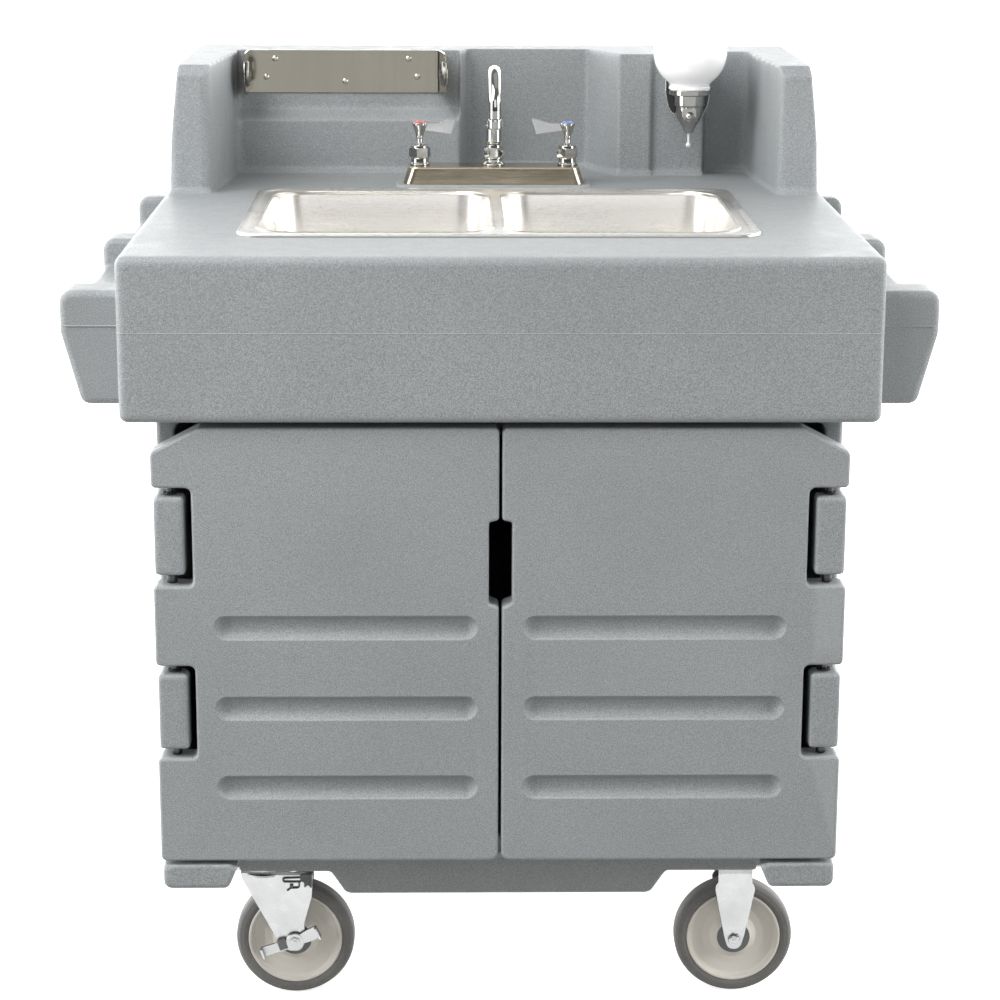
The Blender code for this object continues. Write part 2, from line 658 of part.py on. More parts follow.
def water_pump():
    """Demand pump: a motor lying on its side behind a square pump head."""
    base = FLOOR_TOP + GAP
    x, y = PUMP[0], depth(PUMP[1])
    foot = block("water_pump", (x - 0.045, y - 0.060, base), (x + 0.045, y + 0.100,
                 base + 0.010), "black_plastic")
    head = block("pump_head", (x - 0.042, y - 0.055, base + 0.008), (x + 0.042, y + 0.005,
                 PUMP_TOP - 0.006), None, 0.006)
    motor = rod("pump_motor", (x, y + 0.048, base + 0.054), 0.038, 0.100, axis='Y', sides=20)
    ports = [rod("pump_port_%d" % i, (x + dx, y - 0.025, PUMP_TOP - 0.008), 0.009, 0.016,
                 sides=12) for i, dx in enumerate((-PUMP_PORT_X, 0.0, PUMP_PORT_X))]
    return combine(foot, [head, motor] + ports, 'UNION')


def hose(name, points, material, radius=HOSE_RADIUS):
    return tube(name, bent_path(points, HOSE_BEND, 3), radius, material, resolution=1)


def supply_hoses():
    """Suction from the fresh tank, then the cold side, the heater's feed and the hot side."""
    pump_y = depth(PUMP[1]) - 0.025
    port_z = PUMP_TOP + GAP
    back = depth(0.800)
    valve_y = depth(FAUCET_DEPTH)
    tail = VALVE_TAIL_Z - GAP
    neck_x, neck_y = FRESH_NECK[0], depth(FRESH_NECK[1])
    pump_x, heater_x, heater_y = PUMP[0], HEATER[0], depth(HEATER[1])
    port_top = HEATER_TOP + 0.022 + GAP
    pump_left, pump_right = pump_x - PUMP_PORT_X, pump_x + PUMP_PORT_X
    inner, outer = heater_x - HEATER_PORT_X, heater_x + HEATER_PORT_X
    hose("suction_hose", [(neck_x, neck_y, cap_top(FRESH_TANK)), (neck_x, neck_y, 0.655),
                          (pump_left, neck_y + 0.10, 0.655), (pump_left, pump_y, 0.655),
                          (pump_left, pump_y, port_z)], "hose_clear")
    hose("cold_line", [(pump_x, pump_y, port_z), (pump_x, pump_y, 0.760),
                       (pump_x, valve_y + 0.075, 0.760), (VALVE_X, valve_y + 0.075, 0.760),
                       (VALVE_X, valve_y, 0.760), (VALVE_X, valve_y, tail)], "hose_blue")
    hose("heater_feed", [(pump_right, pump_y, port_z), (pump_right, pump_y, 0.450),
                         (pump_right, back, 0.450), (0.030, back, 0.450),
                         (0.030, back, 0.700), (inner, back, 0.700),
                         (inner, heater_y, 0.700), (inner, heater_y, port_top)], "hose_blue")
    hose("hot_line", [(outer, heater_y, port_top), (outer, heater_y, 0.840),
                      (outer, back, 0.840), (-VALVE_X, back, 0.840),
                      (-VALVE_X, valve_y, 0.840), (-VALVE_X, valve_y, tail)], "hose_red")


def power_inlet():
    """Recessed mains inlet on the cabinet's back."""
    face = depth(CABINET_BACK) + 0.0010
    frame = block("power_inlet", (0.250, face, 0.330), (0.310, face + 0.016, 0.385),
                  "black_plastic", 0.003)
    well = block("cut_inlet", (0.260, face + 0.004, 0.340), (0.300, face + 0.040, 0.375))
    return combine(frame, [well], 'DIFFERENCE')


# ---------------------------------------------------------------- faucet
def faucet_body():
    """Chrome deck housing, slightly narrower at the top, bored for valves and spout."""
    base = COUNTER_TOP + PAD_HEIGHT + GAP
    shape = bmesh.new()
    bmesh.ops.create_cube(shape, size=1.0)
    bmesh.ops.scale(shape, vec=(0.248, 0.058, FAUCET_TOP - base), verts=shape.verts)
    for corner in shape.verts:
        if corner.co.z > 0:
            corner.co.x *= 0.942
            corner.co.y *= 0.82
    sides = [e for e in shape.edges if abs(e.verts[0].co.z - e.verts[1].co.z) > 0.01]
    bmesh.ops.bevel(shape, geom=sides, offset=0.012, segments=4, profile=0.5, affect='EDGES')
    mesh = bpy.data.meshes.new("faucet_body")
    shape.to_mesh(mesh)
    shape.free()
    body = link("faucet_body", mesh, "chrome")
    body.location = (0, depth(FAUCET_DEPTH), (base + FAUCET_TOP) / 2)
    bores = [rod("cut_faucet_bore_%d" % i, (x, depth(FAUCET_DEPTH), 1.0), 0.0125, 0.1)
             for i, x in enumerate((-VALVE_X, 0.0, VALVE_X))]
    return combine(body, bores, 'DIFFERENCE')


def valve(name, side):
    """Valve with its threaded shank below the deck and its bonnet nut above."""
    seat = FAUCET_TOP + GAP
    profile = [(0.0, 1.0525), (0.0040, 1.0525), (0.0040, 1.0455), (0.0120, 1.0450),
               (0.0150, 1.0420), (0.0150, 1.0285), (0.0130, 1.0270), (0.0130, seat),
               (0.0115, seat), (0.0115, VALVE_TAIL_Z), (0.0, VALVE_TAIL_Z)]
    return turned(name, profile, (side * VALVE_X, depth(FAUCET_DEPTH), 0), "chrome", steps=20)


def lever(name, side):
    """Cone hub with a flat blade that points at the spout."""
    profile = [(0.0, 1.0738), (0.0100, 1.0738), (0.0105, 1.0720), (0.0080, 1.0630),
               (0.0050, 1.0560), (0.0048, 1.0528), (0.0, 1.0528)]
    hub = turned(name, profile, (side * VALVE_X, depth(FAUCET_DEPTH), 0), "chrome", steps=20)
    blade = [(0.0975, 1.0620), (0.0975, 1.0700), (0.0800, 1.0712), (0.0520, 1.0755),
             (0.0515, 1.0735), (0.0560, 1.0590), (0.0590, 1.0585), (0.0800, 1.0610)]
    blade_y = depth(FAUCET_DEPTH)
    plate = prism(name + "_blade", mirrored(blade, side), (blade_y - 0.0020, blade_y + 0.0020),
                  'Y')
    return combine(hub, [plate], 'UNION')


def index_button(name, side, material):
    profile = [(0.0, 1.0768), (0.0060, 1.0768), (0.0086, 1.0756), (0.0086, 1.0741),
               (0.0, 1.0741)]
    return turned(name, profile, (side * VALVE_X, depth(FAUCET_DEPTH), 0), material, steps=20)


def spout_nut():
    """Fixed base of the spout, with its shank through the deck."""
    seat = FAUCET_TOP + GAP
    profile = [(0.0, 1.0450), (0.0120, 1.0450), (0.0150, 1.0430), (0.0150, 1.0280),
               (0.0135, 1.0260), (0.0160, 1.0220), (0.0160, seat), (0.0115, seat),
               (0.0115, 0.950), (0.0, 0.950)]
    return turned("spout_nut", profile, (0, depth(FAUCET_DEPTH), 0), "chrome", steps=20)


def gooseneck_path():
    """Rise, half circle towards the user and short drop, in the plane X = 0."""
    bend = SPOUT_REACH / 2
    y0 = depth(FAUCET_DEPTH)
    crown = SPOUT_TOP - SPOUT_RADIUS - bend
    path = [(0, y0, 1.060)]
    path += [(0, y, z) for y, z in arc((y0 - bend, crown), bend, 0, 180, 12)]
    path.append((0, y0 - SPOUT_REACH, SPOUT_TIP_Z + 0.002))
    return path


def faucet_spout():
    neck = tube("faucet_spout", gooseneck_path(), SPOUT_RADIUS, "chrome")
    y = depth(FAUCET_DEPTH)
    profile = [(0.0, 1.0740), (0.0105, 1.0740), (0.0120, 1.0715), (0.0110, 1.0680),
               (0.0110, 1.0500), (0.0100, 1.0453), (0.0, 1.0453)]
    collar = turned("spout_collar", profile, (0, y, 0), steps=20)
    combine(neck, [collar], 'UNION')
    return hang_on(neck, (0, y, 1.060))


def aerator():
    y = depth(FAUCET_DEPTH) - SPOUT_REACH
    top = SPOUT_TIP_Z + 0.002 - GAP
    profile = [(0.0, top), (0.0092, top), (0.0100, top - 0.003), (0.0100, top - 0.014),
               (0.0082, top - 0.014), (0.0082, top - 0.010), (0.0, top - 0.010)]
    return turned("aerator", profile, (0, y, 0), "chrome", steps=20)


# ---------------------------------------------------------------- soap dispenser
def soap_bracket():
    """Wall plate and arm with a ring that carries the dispenser."""
    face = depth(PANEL_SOAP) - GAP
    y = depth(GLOBE_DEPTH)
    plate = block("soap_bracket", (GLOBE_X - 0.024, face - 0.004, 1.048),
                  (GLOBE_X + 0.024, face, 1.108), "chrome", 0.0012, 1)
    arm = block("soap_arm", (GLOBE_X - 0.007, y + 0.022, 1.089),
                (GLOBE_X + 0.007, face - 0.002, 1.101))
    ring = turned("soap_ring", [(0.0205, 1.103), (0.0250, 1.103), (0.0262, 1.100),
                                (0.0262, 1.090), (0.0250, 1.087), (0.0205, 1.087)],
                  (GLOBE_X, y, 0), ring=True, steps=20)
    return combine(plate, [arm, ring], 'UNION')


def soap_globe():
    """Translucent bowl for the soap, narrowing to a neck in the valve's collar."""
    neck_angle = -math.degrees(math.acos(GLOBE_NECK_RADIUS / GLOBE_RADIUS))
    profile = [(max(r, 0.0), z) for r, z in
               arc((0, GLOBE_Z), GLOBE_RADIUS, 90, neck_angle, 10)]
    profile[0] = (0.0, GLOBE_Z + GLOBE_RADIUS)
    neck_z = 1.1107
    profile += [(GLOBE_NECK_RADIUS, neck_z), (0.0, neck_z)]
    return turned("soap_globe", profile, (GLOBE_X, depth(GLOBE_DEPTH), 0), "white_plastic",
                  steps=24)


def soap_valve():
    """Tulip shaped valve body with a blind bore for the plunger."""
    profile = [(0.0, 1.1104), (0.0195, 1.1104), (0.0200, 1.1080), (0.0200, 1.0900),
               (0.0190, 1.0820), (0.0160, 1.0710), (0.0110, 1.0600), (0.0060, 1.0530),
               (0.0024, 1.0530), (0.0024, 1.0790), (0.0, 1.0790)]
    return turned("soap_valve", profile, (GLOBE_X, depth(GLOBE_DEPTH), 0), "chrome", steps=20)


def soap_plunger():
    ball = [(r, 1.0362 + z) for r, z in arc((0, 0), 0.0042, 62, -90, 5)]
    profile = [(0.0, 1.0680), (0.0018, 1.0680), (0.0018, 1.0400)] + ball
    profile[-1] = (0.0, 1.0320)
    return turned("soap_plunger", profile, (GLOBE_X, depth(GLOBE_DEPTH), 0), "white_plastic",
                  steps=12)


# ---------------------------------------------------------------- towel holder
def arm_outline(root_y):
    """Side view of an arm: straight at the wall, round at its free end."""
    radius = (TOWEL_Z[1] - TOWEL_Z[0]) / 2
    middle = (TOWEL_Z[0] + TOWEL_Z[1]) / 2
    tip = root_y - TOWEL_ARM + radius
    return [(root_y, TOWEL_Z[0]), (root_y, TOWEL_Z[1])] + arc((tip, middle), radius, 90, 270, 8)


def towel_bracket():
    face = depth(PANEL_TOWEL) - GAP
    plate = block("towel_bracket", (TOWEL_X[0], face - TOWEL_SHEET, TOWEL_Z[0]),
                  (TOWEL_X[1], face, TOWEL_Z[1]), "bright_steel")
    arm = prism("towel_arm", arm_outline(face - 0.0001),
                (TOWEL_X[0] + 0.0001, TOWEL_X[0] + TOWEL_SHEET), 'X')
    return combine(plate, [arm], 'UNION')


def towel_spring_arm():
    """Springy right arm, flared a little outwards at rest."""
    root_x, root_y = TOWEL_X[1] + GAP, spring_arm_root()
    arm = prism("towel_spring_arm", arm_outline(root_y), (root_x, root_x + TOWEL_SHEET), 'X',
                "bright_steel")
    hang_on_matrix(arm, (root_x, root_y, TOWEL_Z[0]))
    arm.rotation_euler = (0, 0, SPRING_ARM_FLARE)
    return arm


def spring_arm_root():
    return depth(PANEL_TOWEL) - GAP - TOWEL_SHEET


def towel_hub(name, side):
    """Domed disc inside an arm that enters the towel roll's core."""
    profile = [(HUB_RADIUS * r, HUB_HEIGHT * h) for r, h in quarter_circle(4)] + [(0.0, 0.0)]
    middle_z = (TOWEL_Z[0] + TOWEL_Z[1]) / 2
    reach = TOWEL_ARM - 0.030
    if side < 0:
        centre = (TOWEL_X[0] + TOWEL_SHEET + GAP, spring_arm_root() - reach, middle_z)
        lean = 0.0
    else:
        lean = SPRING_ARM_FLARE
        centre = (TOWEL_X[1] + reach * math.sin(lean),
                  spring_arm_root() - reach * math.cos(lean), middle_z)
    hub = turned(name, profile, centre, "bright_steel", steps=20)
    hub.rotation_euler = (0, -side * math.pi / 2, lean)
    return hub


# ---------------------------------------------------------------- casters
def fork_outline(top_half, wheel_offset, drop, shoulder):
    """Front view of a fork leg: wide at the crown, narrowing to a round end at the axle."""
    end_radius = 0.021
    outline = [(-top_half, 0.0), (-top_half, -shoulder)]
    outline += arc((wheel_offset, -drop), end_radius, 200, 340, 8)
    outline += [(top_half, -shoulder), (top_half, 0.0)]
    return outline


def fork(name, crown_x, wheel_x, y, top_z, top_half, plate_top):
    """Pressed fork around the wheel; a rigid one carries its own top plate."""
    half_width = WHEEL_WIDTH / 2 + FORK_CLEARANCE
    outline = fork_outline(top_half, wheel_x - crown_x, top_z - WHEEL_RADIUS, 0.010)
    placed = [(crown_x + u, top_z + v) for u, v in outline]
    legs = prism(name, placed, (y - half_width, y + half_width), 'Y', "zinc")
    slot = block("cut_%s_slot" % name, (crown_x - 0.10, y - half_width + FORK_SHEET, 0.0),
                 (crown_x + 0.14, y + half_width - FORK_SHEET, WHEEL_RADIUS * 2 + 0.006))
    bore = rod("cut_%s_axle" % name, (wheel_x, y, WHEEL_RADIUS), AXLE_RADIUS + 0.0004, 0.2,
               axis='Y')
    if plate_top:
        plate = block(name + "_plate", (crown_x - PLATE_HALF[0], y - PLATE_HALF[1],
                                        top_z - 0.004),
                      (crown_x + PLATE_HALF[0], y + PLATE_HALF[1], plate_top))
        combine(legs, [plate], 'UNION')
    combine(legs, [slot, bore], 'DIFFERENCE')
    return hang_on_matrix(legs, (crown_x, y, top_z))


def hang_on_matrix(item, pivot):
    """As hang_on, for a part whose object is turned."""
    move = Matrix.Translation(pivot).inverted() @ item.matrix_world
    item.data.transform(move)
    item.matrix_world = Matrix.Translation(pivot)
    return item


def caster_plate(name, x, y):
    """Bolted top plate and the upper half of the swivel race."""
    top = CASTER_HEIGHT
    plate = block(name, (x - PLATE_HALF[0], y - PLATE_HALF[1], top - 0.006),
                  (x + PLATE_HALF[0], y + PLATE_HALF[1], top), "zinc")
    race = turned(name + "_race", [(0.0, top - 0.003), (0.026, top - 0.003), (0.033, top - 0.012),
                                   (0.033, top - 0.018), (0.0, top - 0.018)], (x, y, 0))
    return combine(plate, [race], 'UNION')


def axle(name, x, y):
    """Axle bolt with a head and a nut outside the fork legs."""
    leg = WHEEL_WIDTH / 2 + FORK_CLEARANCE + GAP
    reach = leg + 0.0075
    profile = [(0.0, reach), (0.0095, reach), (0.0095, leg), (AXLE_RADIUS, leg),
               (AXLE_RADIUS, -leg), (0.0095, -leg), (0.0095, -reach), (0.0, -reach)]
    return turned(name, profile, (x, y, WHEEL_RADIUS), "zinc", axis='Y', steps=16)


def wheel_core(name, x, y):
    """Moulded wheel centre: hub, thin web and rim."""
    hub, web, rim = 0.0175, 0.006, 0.0150
    bore = AXLE_RADIUS + 0.0005
    side = [(bore, hub), (0.0170, hub), (0.0185, web), (0.0520, web), (0.0540, rim),
            (CORE_RADIUS, rim)]
    profile = side + [(r, -h) for r, h in reversed(side)]
    return turned(name, profile, (x, y, WHEEL_RADIUS), "wheel_core", axis='Y', steps=24,
                  ring=True)


def tyre(name, x, y):
    half = WHEEL_WIDTH / 2
    inner = CORE_RADIUS + GAP
    profile = [(inner, half - 0.002), (WHEEL_RADIUS - 0.006, half), (WHEEL_RADIUS, half - 0.007),
               (WHEEL_RADIUS, -half + 0.007), (WHEEL_RADIUS - 0.006, -half),
               (inner, -half + 0.002)]
    return turned(name, profile, (x, y, WHEEL_RADIUS), "tyre", axis='Y', steps=32, ring=True)


def brake_lever(name, x, y, outward):
    """Two-armed foot brake that rocks on the axle's end, outside the front leg."""
    arm_half = 0.0045
    arms = [(-0.049, -arm_half - 0.005), (-0.049, arm_half - 0.004), (-0.018, 0.011),
            (0.018, 0.011), (0.040, arm_half + 0.003), (0.040, -arm_half - 0.003),
            (0.018, -0.011), (-0.018, -0.011)]
    lean = BRAKE_LEAN
    turn = [(x + u * math.cos(lean) - v * math.sin(lean),
             WHEEL_RADIUS + u * math.sin(lean) + v * math.cos(lean)) for u, v in arms]
    face = y + outward * (WHEEL_WIDTH / 2 + 0.0085)
    span = sorted((face, face + outward * 0.0040))
    plate = prism(name, turn, span, 'Y', "zinc")
    bore = rod("cut_%s_bore" % name, (x, face, WHEEL_RADIUS), 0.0100, 0.05, axis='Y')
    pads = [block("%s_pad_%d" % (name, i),
                  (x + u * math.cos(lean) - 0.008, min(span[0], span[0] + outward * 0.016),
                   WHEEL_RADIUS + u * math.sin(lean) - 0.003),
                  (x + u * math.cos(lean) + 0.008, max(span[1], span[1] + outward * 0.016),
                   WHEEL_RADIUS + u * math.sin(lean) + 0.003), None, 0.001, 1)
            for i, u in enumerate((-0.042, 0.036))]
    combine(plate, [bore], 'DIFFERENCE')
    return combine(plate, pads, 'UNION')


def casters():
    for end, y, outward in (("front", depth(CASTER_DEPTH), -1), ("rear", -depth(CASTER_DEPTH), 1)):
        rigid, swivel = end + "_rigid_", end + "_swivel_"
        fork(rigid + "fork", RIGID_WHEEL_X, RIGID_WHEEL_X, y, CASTER_HEIGHT - 0.004, 0.028,
             CASTER_HEIGHT)
        fork(swivel + "fork", KINGPIN_X, SWIVEL_WHEEL_X, y, CASTER_HEIGHT - 0.0183, 0.034, None)
        caster_plate(swivel + "plate", KINGPIN_X, y)
        brake_lever(swivel + "brake", SWIVEL_WHEEL_X, y, outward)
        for prefix, x in ((rigid, RIGID_WHEEL_X), (swivel, SWIVEL_WHEEL_X)):
            axle(prefix + "axle", x, y)
            wheel_core(prefix + "wheel_core", x, y)
            tyre(prefix + "tyre", x, y)


# ---------------------------------------------------------------- assembly
def build():
    counter_top()
    cabinet_body()
    door("door_left", -1)
    door("door_right", 1)
    hinge_rod("hinge_rod_left", -1)
    hinge_rod("hinge_rod_right", 1)
    sink_basin()
    drain_strainer("drain_strainer_left", -1)
    drain_strainer("drain_strainer_right", 1)
    waste_pipe()
    tank("waste_tank", WASTE_TANK, WASTE_NECK, WASTE_GRIP_X, "waste_tank")
    tank_cap("waste_tank_cap", WASTE_TANK, WASTE_NECK, "black_plastic")
    tank("fresh_tank", FRESH_TANK, FRESH_NECK, FRESH_GRIP_X, "tank")
    tank_cap("fresh_tank_cap", FRESH_TANK, FRESH_NECK, "hose_blue")
    water_heater()
    water_pump()
    supply_hoses()
    power_inlet()
    faucet_body()
    valve("valve_hot", -1)
    valve("valve_cold", 1)
    lever("lever_hot", -1)
    lever("lever_cold", 1)
    index_button("index_hot", -1, "index_red")
    index_button("index_cold", 1, "index_blue")
    spout_nut()
    faucet_spout()
    aerator()
    soap_bracket()
    soap_globe()
    soap_valve()
    soap_plunger()
    towel_bracket()
    towel_spring_arm()
    towel_hub("towel_hub_left", -1)
    towel_hub("towel_hub_right", 1)
    casters()


build()
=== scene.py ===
"""Looks of the portable handwash sink: detailed pieces over the CAD frame, materials, studio."""
import json
import math

import bmesh
import bpy
from mathutils import Matrix, Vector


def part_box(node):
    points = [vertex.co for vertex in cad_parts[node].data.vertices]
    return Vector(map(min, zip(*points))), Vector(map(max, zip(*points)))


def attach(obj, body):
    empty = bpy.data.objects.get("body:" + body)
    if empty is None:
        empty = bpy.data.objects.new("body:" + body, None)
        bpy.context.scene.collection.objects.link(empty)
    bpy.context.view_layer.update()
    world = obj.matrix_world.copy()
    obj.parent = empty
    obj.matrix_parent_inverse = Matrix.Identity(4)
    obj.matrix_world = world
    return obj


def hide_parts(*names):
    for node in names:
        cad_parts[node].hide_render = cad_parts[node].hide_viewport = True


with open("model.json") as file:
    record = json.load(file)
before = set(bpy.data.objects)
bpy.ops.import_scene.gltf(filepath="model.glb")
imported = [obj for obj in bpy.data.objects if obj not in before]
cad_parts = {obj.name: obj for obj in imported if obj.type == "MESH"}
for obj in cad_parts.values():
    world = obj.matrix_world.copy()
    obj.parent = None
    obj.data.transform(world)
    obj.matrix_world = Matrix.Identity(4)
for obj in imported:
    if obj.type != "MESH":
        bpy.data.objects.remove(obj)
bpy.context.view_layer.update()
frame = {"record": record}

# ---------------------------------------------------------------- sizes from the frame
COUNTER_LOW, COUNTER_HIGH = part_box("counter_top")
CABINET_LOW, CABINET_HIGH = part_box("cabinet_body")
SINK_LOW, SINK_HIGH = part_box("sink_basin")
FAUCET_LOW, FAUCET_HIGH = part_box("faucet_body")
GLOBE_LOW, GLOBE_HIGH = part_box("soap_globe")

FRONT_Y = COUNTER_LOW.y
BACK_Y = COUNTER_HIGH.y
SLAB_BOTTOM = COUNTER_LOW.z
WALL_TOP = COUNTER_HIGH.z
HANDLE_X = COUNTER_HIGH.x
SLAB_X = 0.4445
SLAB_TOP = SINK_HIGH.z - 0.0040
DECK = 0.025
PARTING_Z = 0.901                       # seam between the two halves of the mould

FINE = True
MOULD_VOXEL = 0.0025 if FINE else 0.0040
MOULD_TRIANGLES = 180000


def depth(distance):
    """Row Y of a point that lies this far behind the counter's front face."""
    return FRONT_Y + distance


# ---------------------------------------------------------------- outlines
def rounded(corners, radii, steps=6, closed=True):
    """The outline with its corners replaced by arcs; one radius, or one for each corner."""
    count = len(corners)
    if not isinstance(radii, (list, tuple)):
        radii = [radii] * count
    points = []
    for i, (corner, radius) in enumerate(zip(corners, radii)):
        here = Vector(corner[:2])
        if radius <= 0 or (not closed and i in (0, count - 1)):
            points.append(here)
            continue
        into = here - Vector(corners[i - 1][:2])
        out = Vector(corners[(i + 1) % count][:2]) - here
        room = 0.49 * min(into.length, out.length)
        into.normalize()
        out.normalize()
        turn = math.atan2(into.x * out.y - into.y * out.x, into.dot(out))
        if abs(turn) < math.radians(2):
            points.append(here)
            continue
        setback = min(radius * math.tan(abs(turn) / 2), room)
        radius = setback / math.tan(abs(turn) / 2)
        start = here - into * setback
        centre = start + Vector((-into.y, into.x)) * math.copysign(radius, turn)
        spoke = start - centre
        for k in range(steps + 1):
            angle = turn * k / steps
            points.append(centre + Matrix.Rotation(angle, 2) @ spoke)
    return points


def mirrored(outline, side):
    return [(side * p[0], p[1]) for p in outline]


def arc(centre, radius, start, stop, steps):
    """Points on an arc, angles in degrees."""
    angles = [math.radians(start + (stop - start) * i / steps) for i in range(steps + 1)]
    return [(centre[0] + radius * math.cos(a), centre[1] + radius * math.sin(a))
            for a in angles]


def box_outline(x0, x1, y0, y1):
    return [(x0, y0), (x1, y0), (x1, y1), (x0, y1)]


def polygon(centre, across_flats, sides, turn=0.0):
    """A regular polygon by its size across flats."""
    radius = across_flats / 2 / math.cos(math.pi / sides)
    return arc(centre, radius, turn, turn + 360 * (sides - 1) / sides, sides - 1)


# ---------------------------------------------------------------- meshes
def from_bmesh(name, shape, sharp=38.0):
    bmesh.ops.remove_doubles(shape, verts=shape.verts, dist=1e-6)
    bmesh.ops.recalc_face_normals(shape, faces=shape.faces)
    mesh = bpy.data.meshes.new(name)
    shape.to_mesh(mesh)
    shape.free()
    item = bpy.data.objects.new(name, mesh)
    bpy.context.scene.collection.objects.link(item)
    shade(item, sharp)
    return item


def shade(item, sharp=38.0):
    item.data.shade_smooth()
    item.data.set_sharp_from_angle(angle=math.radians(sharp))


def slab(name, outline, span, axis, edge=0.0, segments=3):
    """An outline pushed along an axis, its two rims rounded: (x, z) for Y, (y, z) for X."""
    place = {'X': lambda u, v, w: (w, u, v), 'Y': lambda u, v, w: (u, w, v),
             'Z': lambda u, v, w: (u, v, w)}[axis]
    shape = bmesh.new()
    rows = [[shape.verts.new(place(p[0], p[1], w)) for p in outline] for w in span]
    caps = [shape.faces.new(row) for row in rows]
    for i in range(len(outline)):
        j = (i + 1) % len(outline)
        shape.faces.new((rows[0][i], rows[0][j], rows[1][j], rows[1][i]))
    bmesh.ops.recalc_face_normals(shape, faces=shape.faces)
    if edge:
        rims = [e for cap in caps for e in cap.edges]
        bmesh.ops.bevel(shape, geom=rims, offset=edge, segments=segments, profile=0.5,
                        affect='EDGES', clamp_overlap=True)
    return from_bmesh(name, shape)


def brick(name, low, high, edge=0.0, segments=3):
    """A box between two corners with all its edges rounded."""
    shape = bmesh.new()
    bmesh.ops.create_cube(shape, size=1.0)
    low, high = Vector(low), Vector(high)
    bmesh.ops.scale(shape, vec=high - low, verts=shape.verts)
    bmesh.ops.translate(shape, vec=(low + high) / 2, verts=shape.verts)
    if edge:
        bmesh.ops.bevel(shape, geom=shape.edges[:], offset=edge, segments=segments,
                        profile=0.5, affect='EDGES')
    return from_bmesh(name, shape)


def loft(name, loops, cap_start=True, cap_end=True, sharp=38.0):
    """A skin over loops with equal numbers of points."""
    shape = bmesh.new()
    rows = [[shape.verts.new(p) for p in loop] for loop in loops]
    for a, b in zip(rows, rows[1:]):
        for i in range(len(a)):
            j = (i + 1) % len(a)
            shape.faces.new((a[i], a[j], b[j], b[i]))
    if cap_start:
        shape.faces.new(rows[0][::-1])
    if cap_end:
        shape.faces.new(rows[-1])
    return from_bmesh(name, shape, sharp)


def ring_points(half_x, half_y, radius, centre, z, steps=10):
    """A rounded rectangle as a level loop."""
    radius = min(radius, half_x, half_y)
    points = []
    for k, (sx, sy) in enumerate(((1, 1), (-1, 1), (-1, -1), (1, -1))):
        cx = centre[0] + sx * (half_x - radius)
        cy = centre[1] + sy * (half_y - radius)
        points += [Vector((x, y, z)) for x, y in
                   arc((cx, cy), radius, 90 * k, 90 * k + 90, steps)]
    return points


def pillow(name, half_x, half_y, radius, centre, z0, z1, edge, taper=0.0, steps=8):
    """A rounded box standing on z0, drawn in by `taper` at its top, with soft rims."""
    loops = []
    for k in range(5):
        a = math.radians(90 * k / 4)
        inset = edge * (1 - math.sin(a))
        loops.append(ring_points(half_x - inset, half_y - inset, radius, centre,
                                 z0 + edge * (1 - math.cos(a)), steps))
    for k in range(5):
        a = math.radians(90 * k / 4)
        inset = taper + edge * (1 - math.cos(a))
        loops.append(ring_points(half_x - inset, half_y - inset, radius, centre,
                                 z1 - edge + edge * math.sin(a), steps))
    return loft(name, loops)


def lathe(name, profile, centre=(0, 0, 0), direction=(0, 0, 1), steps=48, soften=0.0,
          closed=False, sharp=38.0):
    """A turned shape from (radius, height) points; points on the axis close it."""
    if soften:
        profile = rounded(profile, soften, 4, closed)
    shape = bmesh.new()
    rows = []
    for radius, height in profile:
        if radius < 1e-7:
            rows.append([shape.verts.new((0, 0, height))])
            continue
        angles = [2 * math.pi * k / steps for k in range(steps)]
        rows.append([shape.verts.new((radius * math.cos(a), radius * math.sin(a), height))
                     for a in angles])
    pairs = list(zip(rows, rows[1:]))
    if closed:
        pairs.append((rows[-1], rows[0]))
    for a, b in pairs:
        if len(a) == 1 and len(b) == 1:
            continue
        for i in range(steps):
            j = (i + 1) % steps
            if len(a) == 1:
                shape.faces.new((a[0], b[j], b[i]))
            elif len(b) == 1:
                shape.faces.new((a[i], a[j], b[0]))
            else:
                shape.faces.new((a[i], a[j], b[j], b[i]))
    turn = Vector(direction).to_track_quat('Z', 'Y').to_matrix().to_4x4()
    shape.transform(Matrix.Translation(centre) @ turn)
    return from_bmesh(name, shape, sharp)


def bent(points, radius, steps=8):
    """The route through the points with each corner replaced by a round bend."""
    points = [Vector(p) for p in points]
    path = [points[0]]
    for before, corner, after in zip(points, points[1:], points[2:]):
        into, out = (corner - before).normalized(), (after - corner).normalized()
        half_turn = into.angle(out) / 2
        if half_turn < math.radians(1.0):
            continue
        setback = radius * math.tan(half_turn)
        inward = (out - into).normalized()
        centre = corner + inward * (radius / math.cos(half_turn))
        start = corner - into * setback - centre
        spin = into.cross(out).normalized()
        path += [centre + Matrix.Rotation(2 * half_turn * i / steps, 3, spin) @ start
                 for i in range(steps + 1)]
    path.append(points[-1])
    return path


def tube(name, path, radius, sides=5):
    """A round bar along a path, with filled ends; `sides` is the curve's bevel resolution."""
    curve = bpy.data.curves.new(name, 'CURVE')
    curve.dimensions = '3D'
    curve.bevel_depth = radius
    curve.bevel_resolution = sides
    curve.use_fill_caps = True
    spline = curve.splines.new('POLY')
    spline.points.add(len(path) - 1)
    for point, place in zip(spline.points, path):
        point.co = (*place, 1.0)
    guide = bpy.data.objects.new(name, curve)
    bpy.context.scene.collection.objects.link(guide)
    graph = bpy.context.evaluated_depsgraph_get()
    mesh = bpy.data.meshes.new_from_object(guide.evaluated_get(graph))
    bpy.data.objects.remove(guide, do_unlink=True)
    shape = bmesh.new()
    shape.from_mesh(mesh)
    return from_bmesh(name, shape, 50.0)


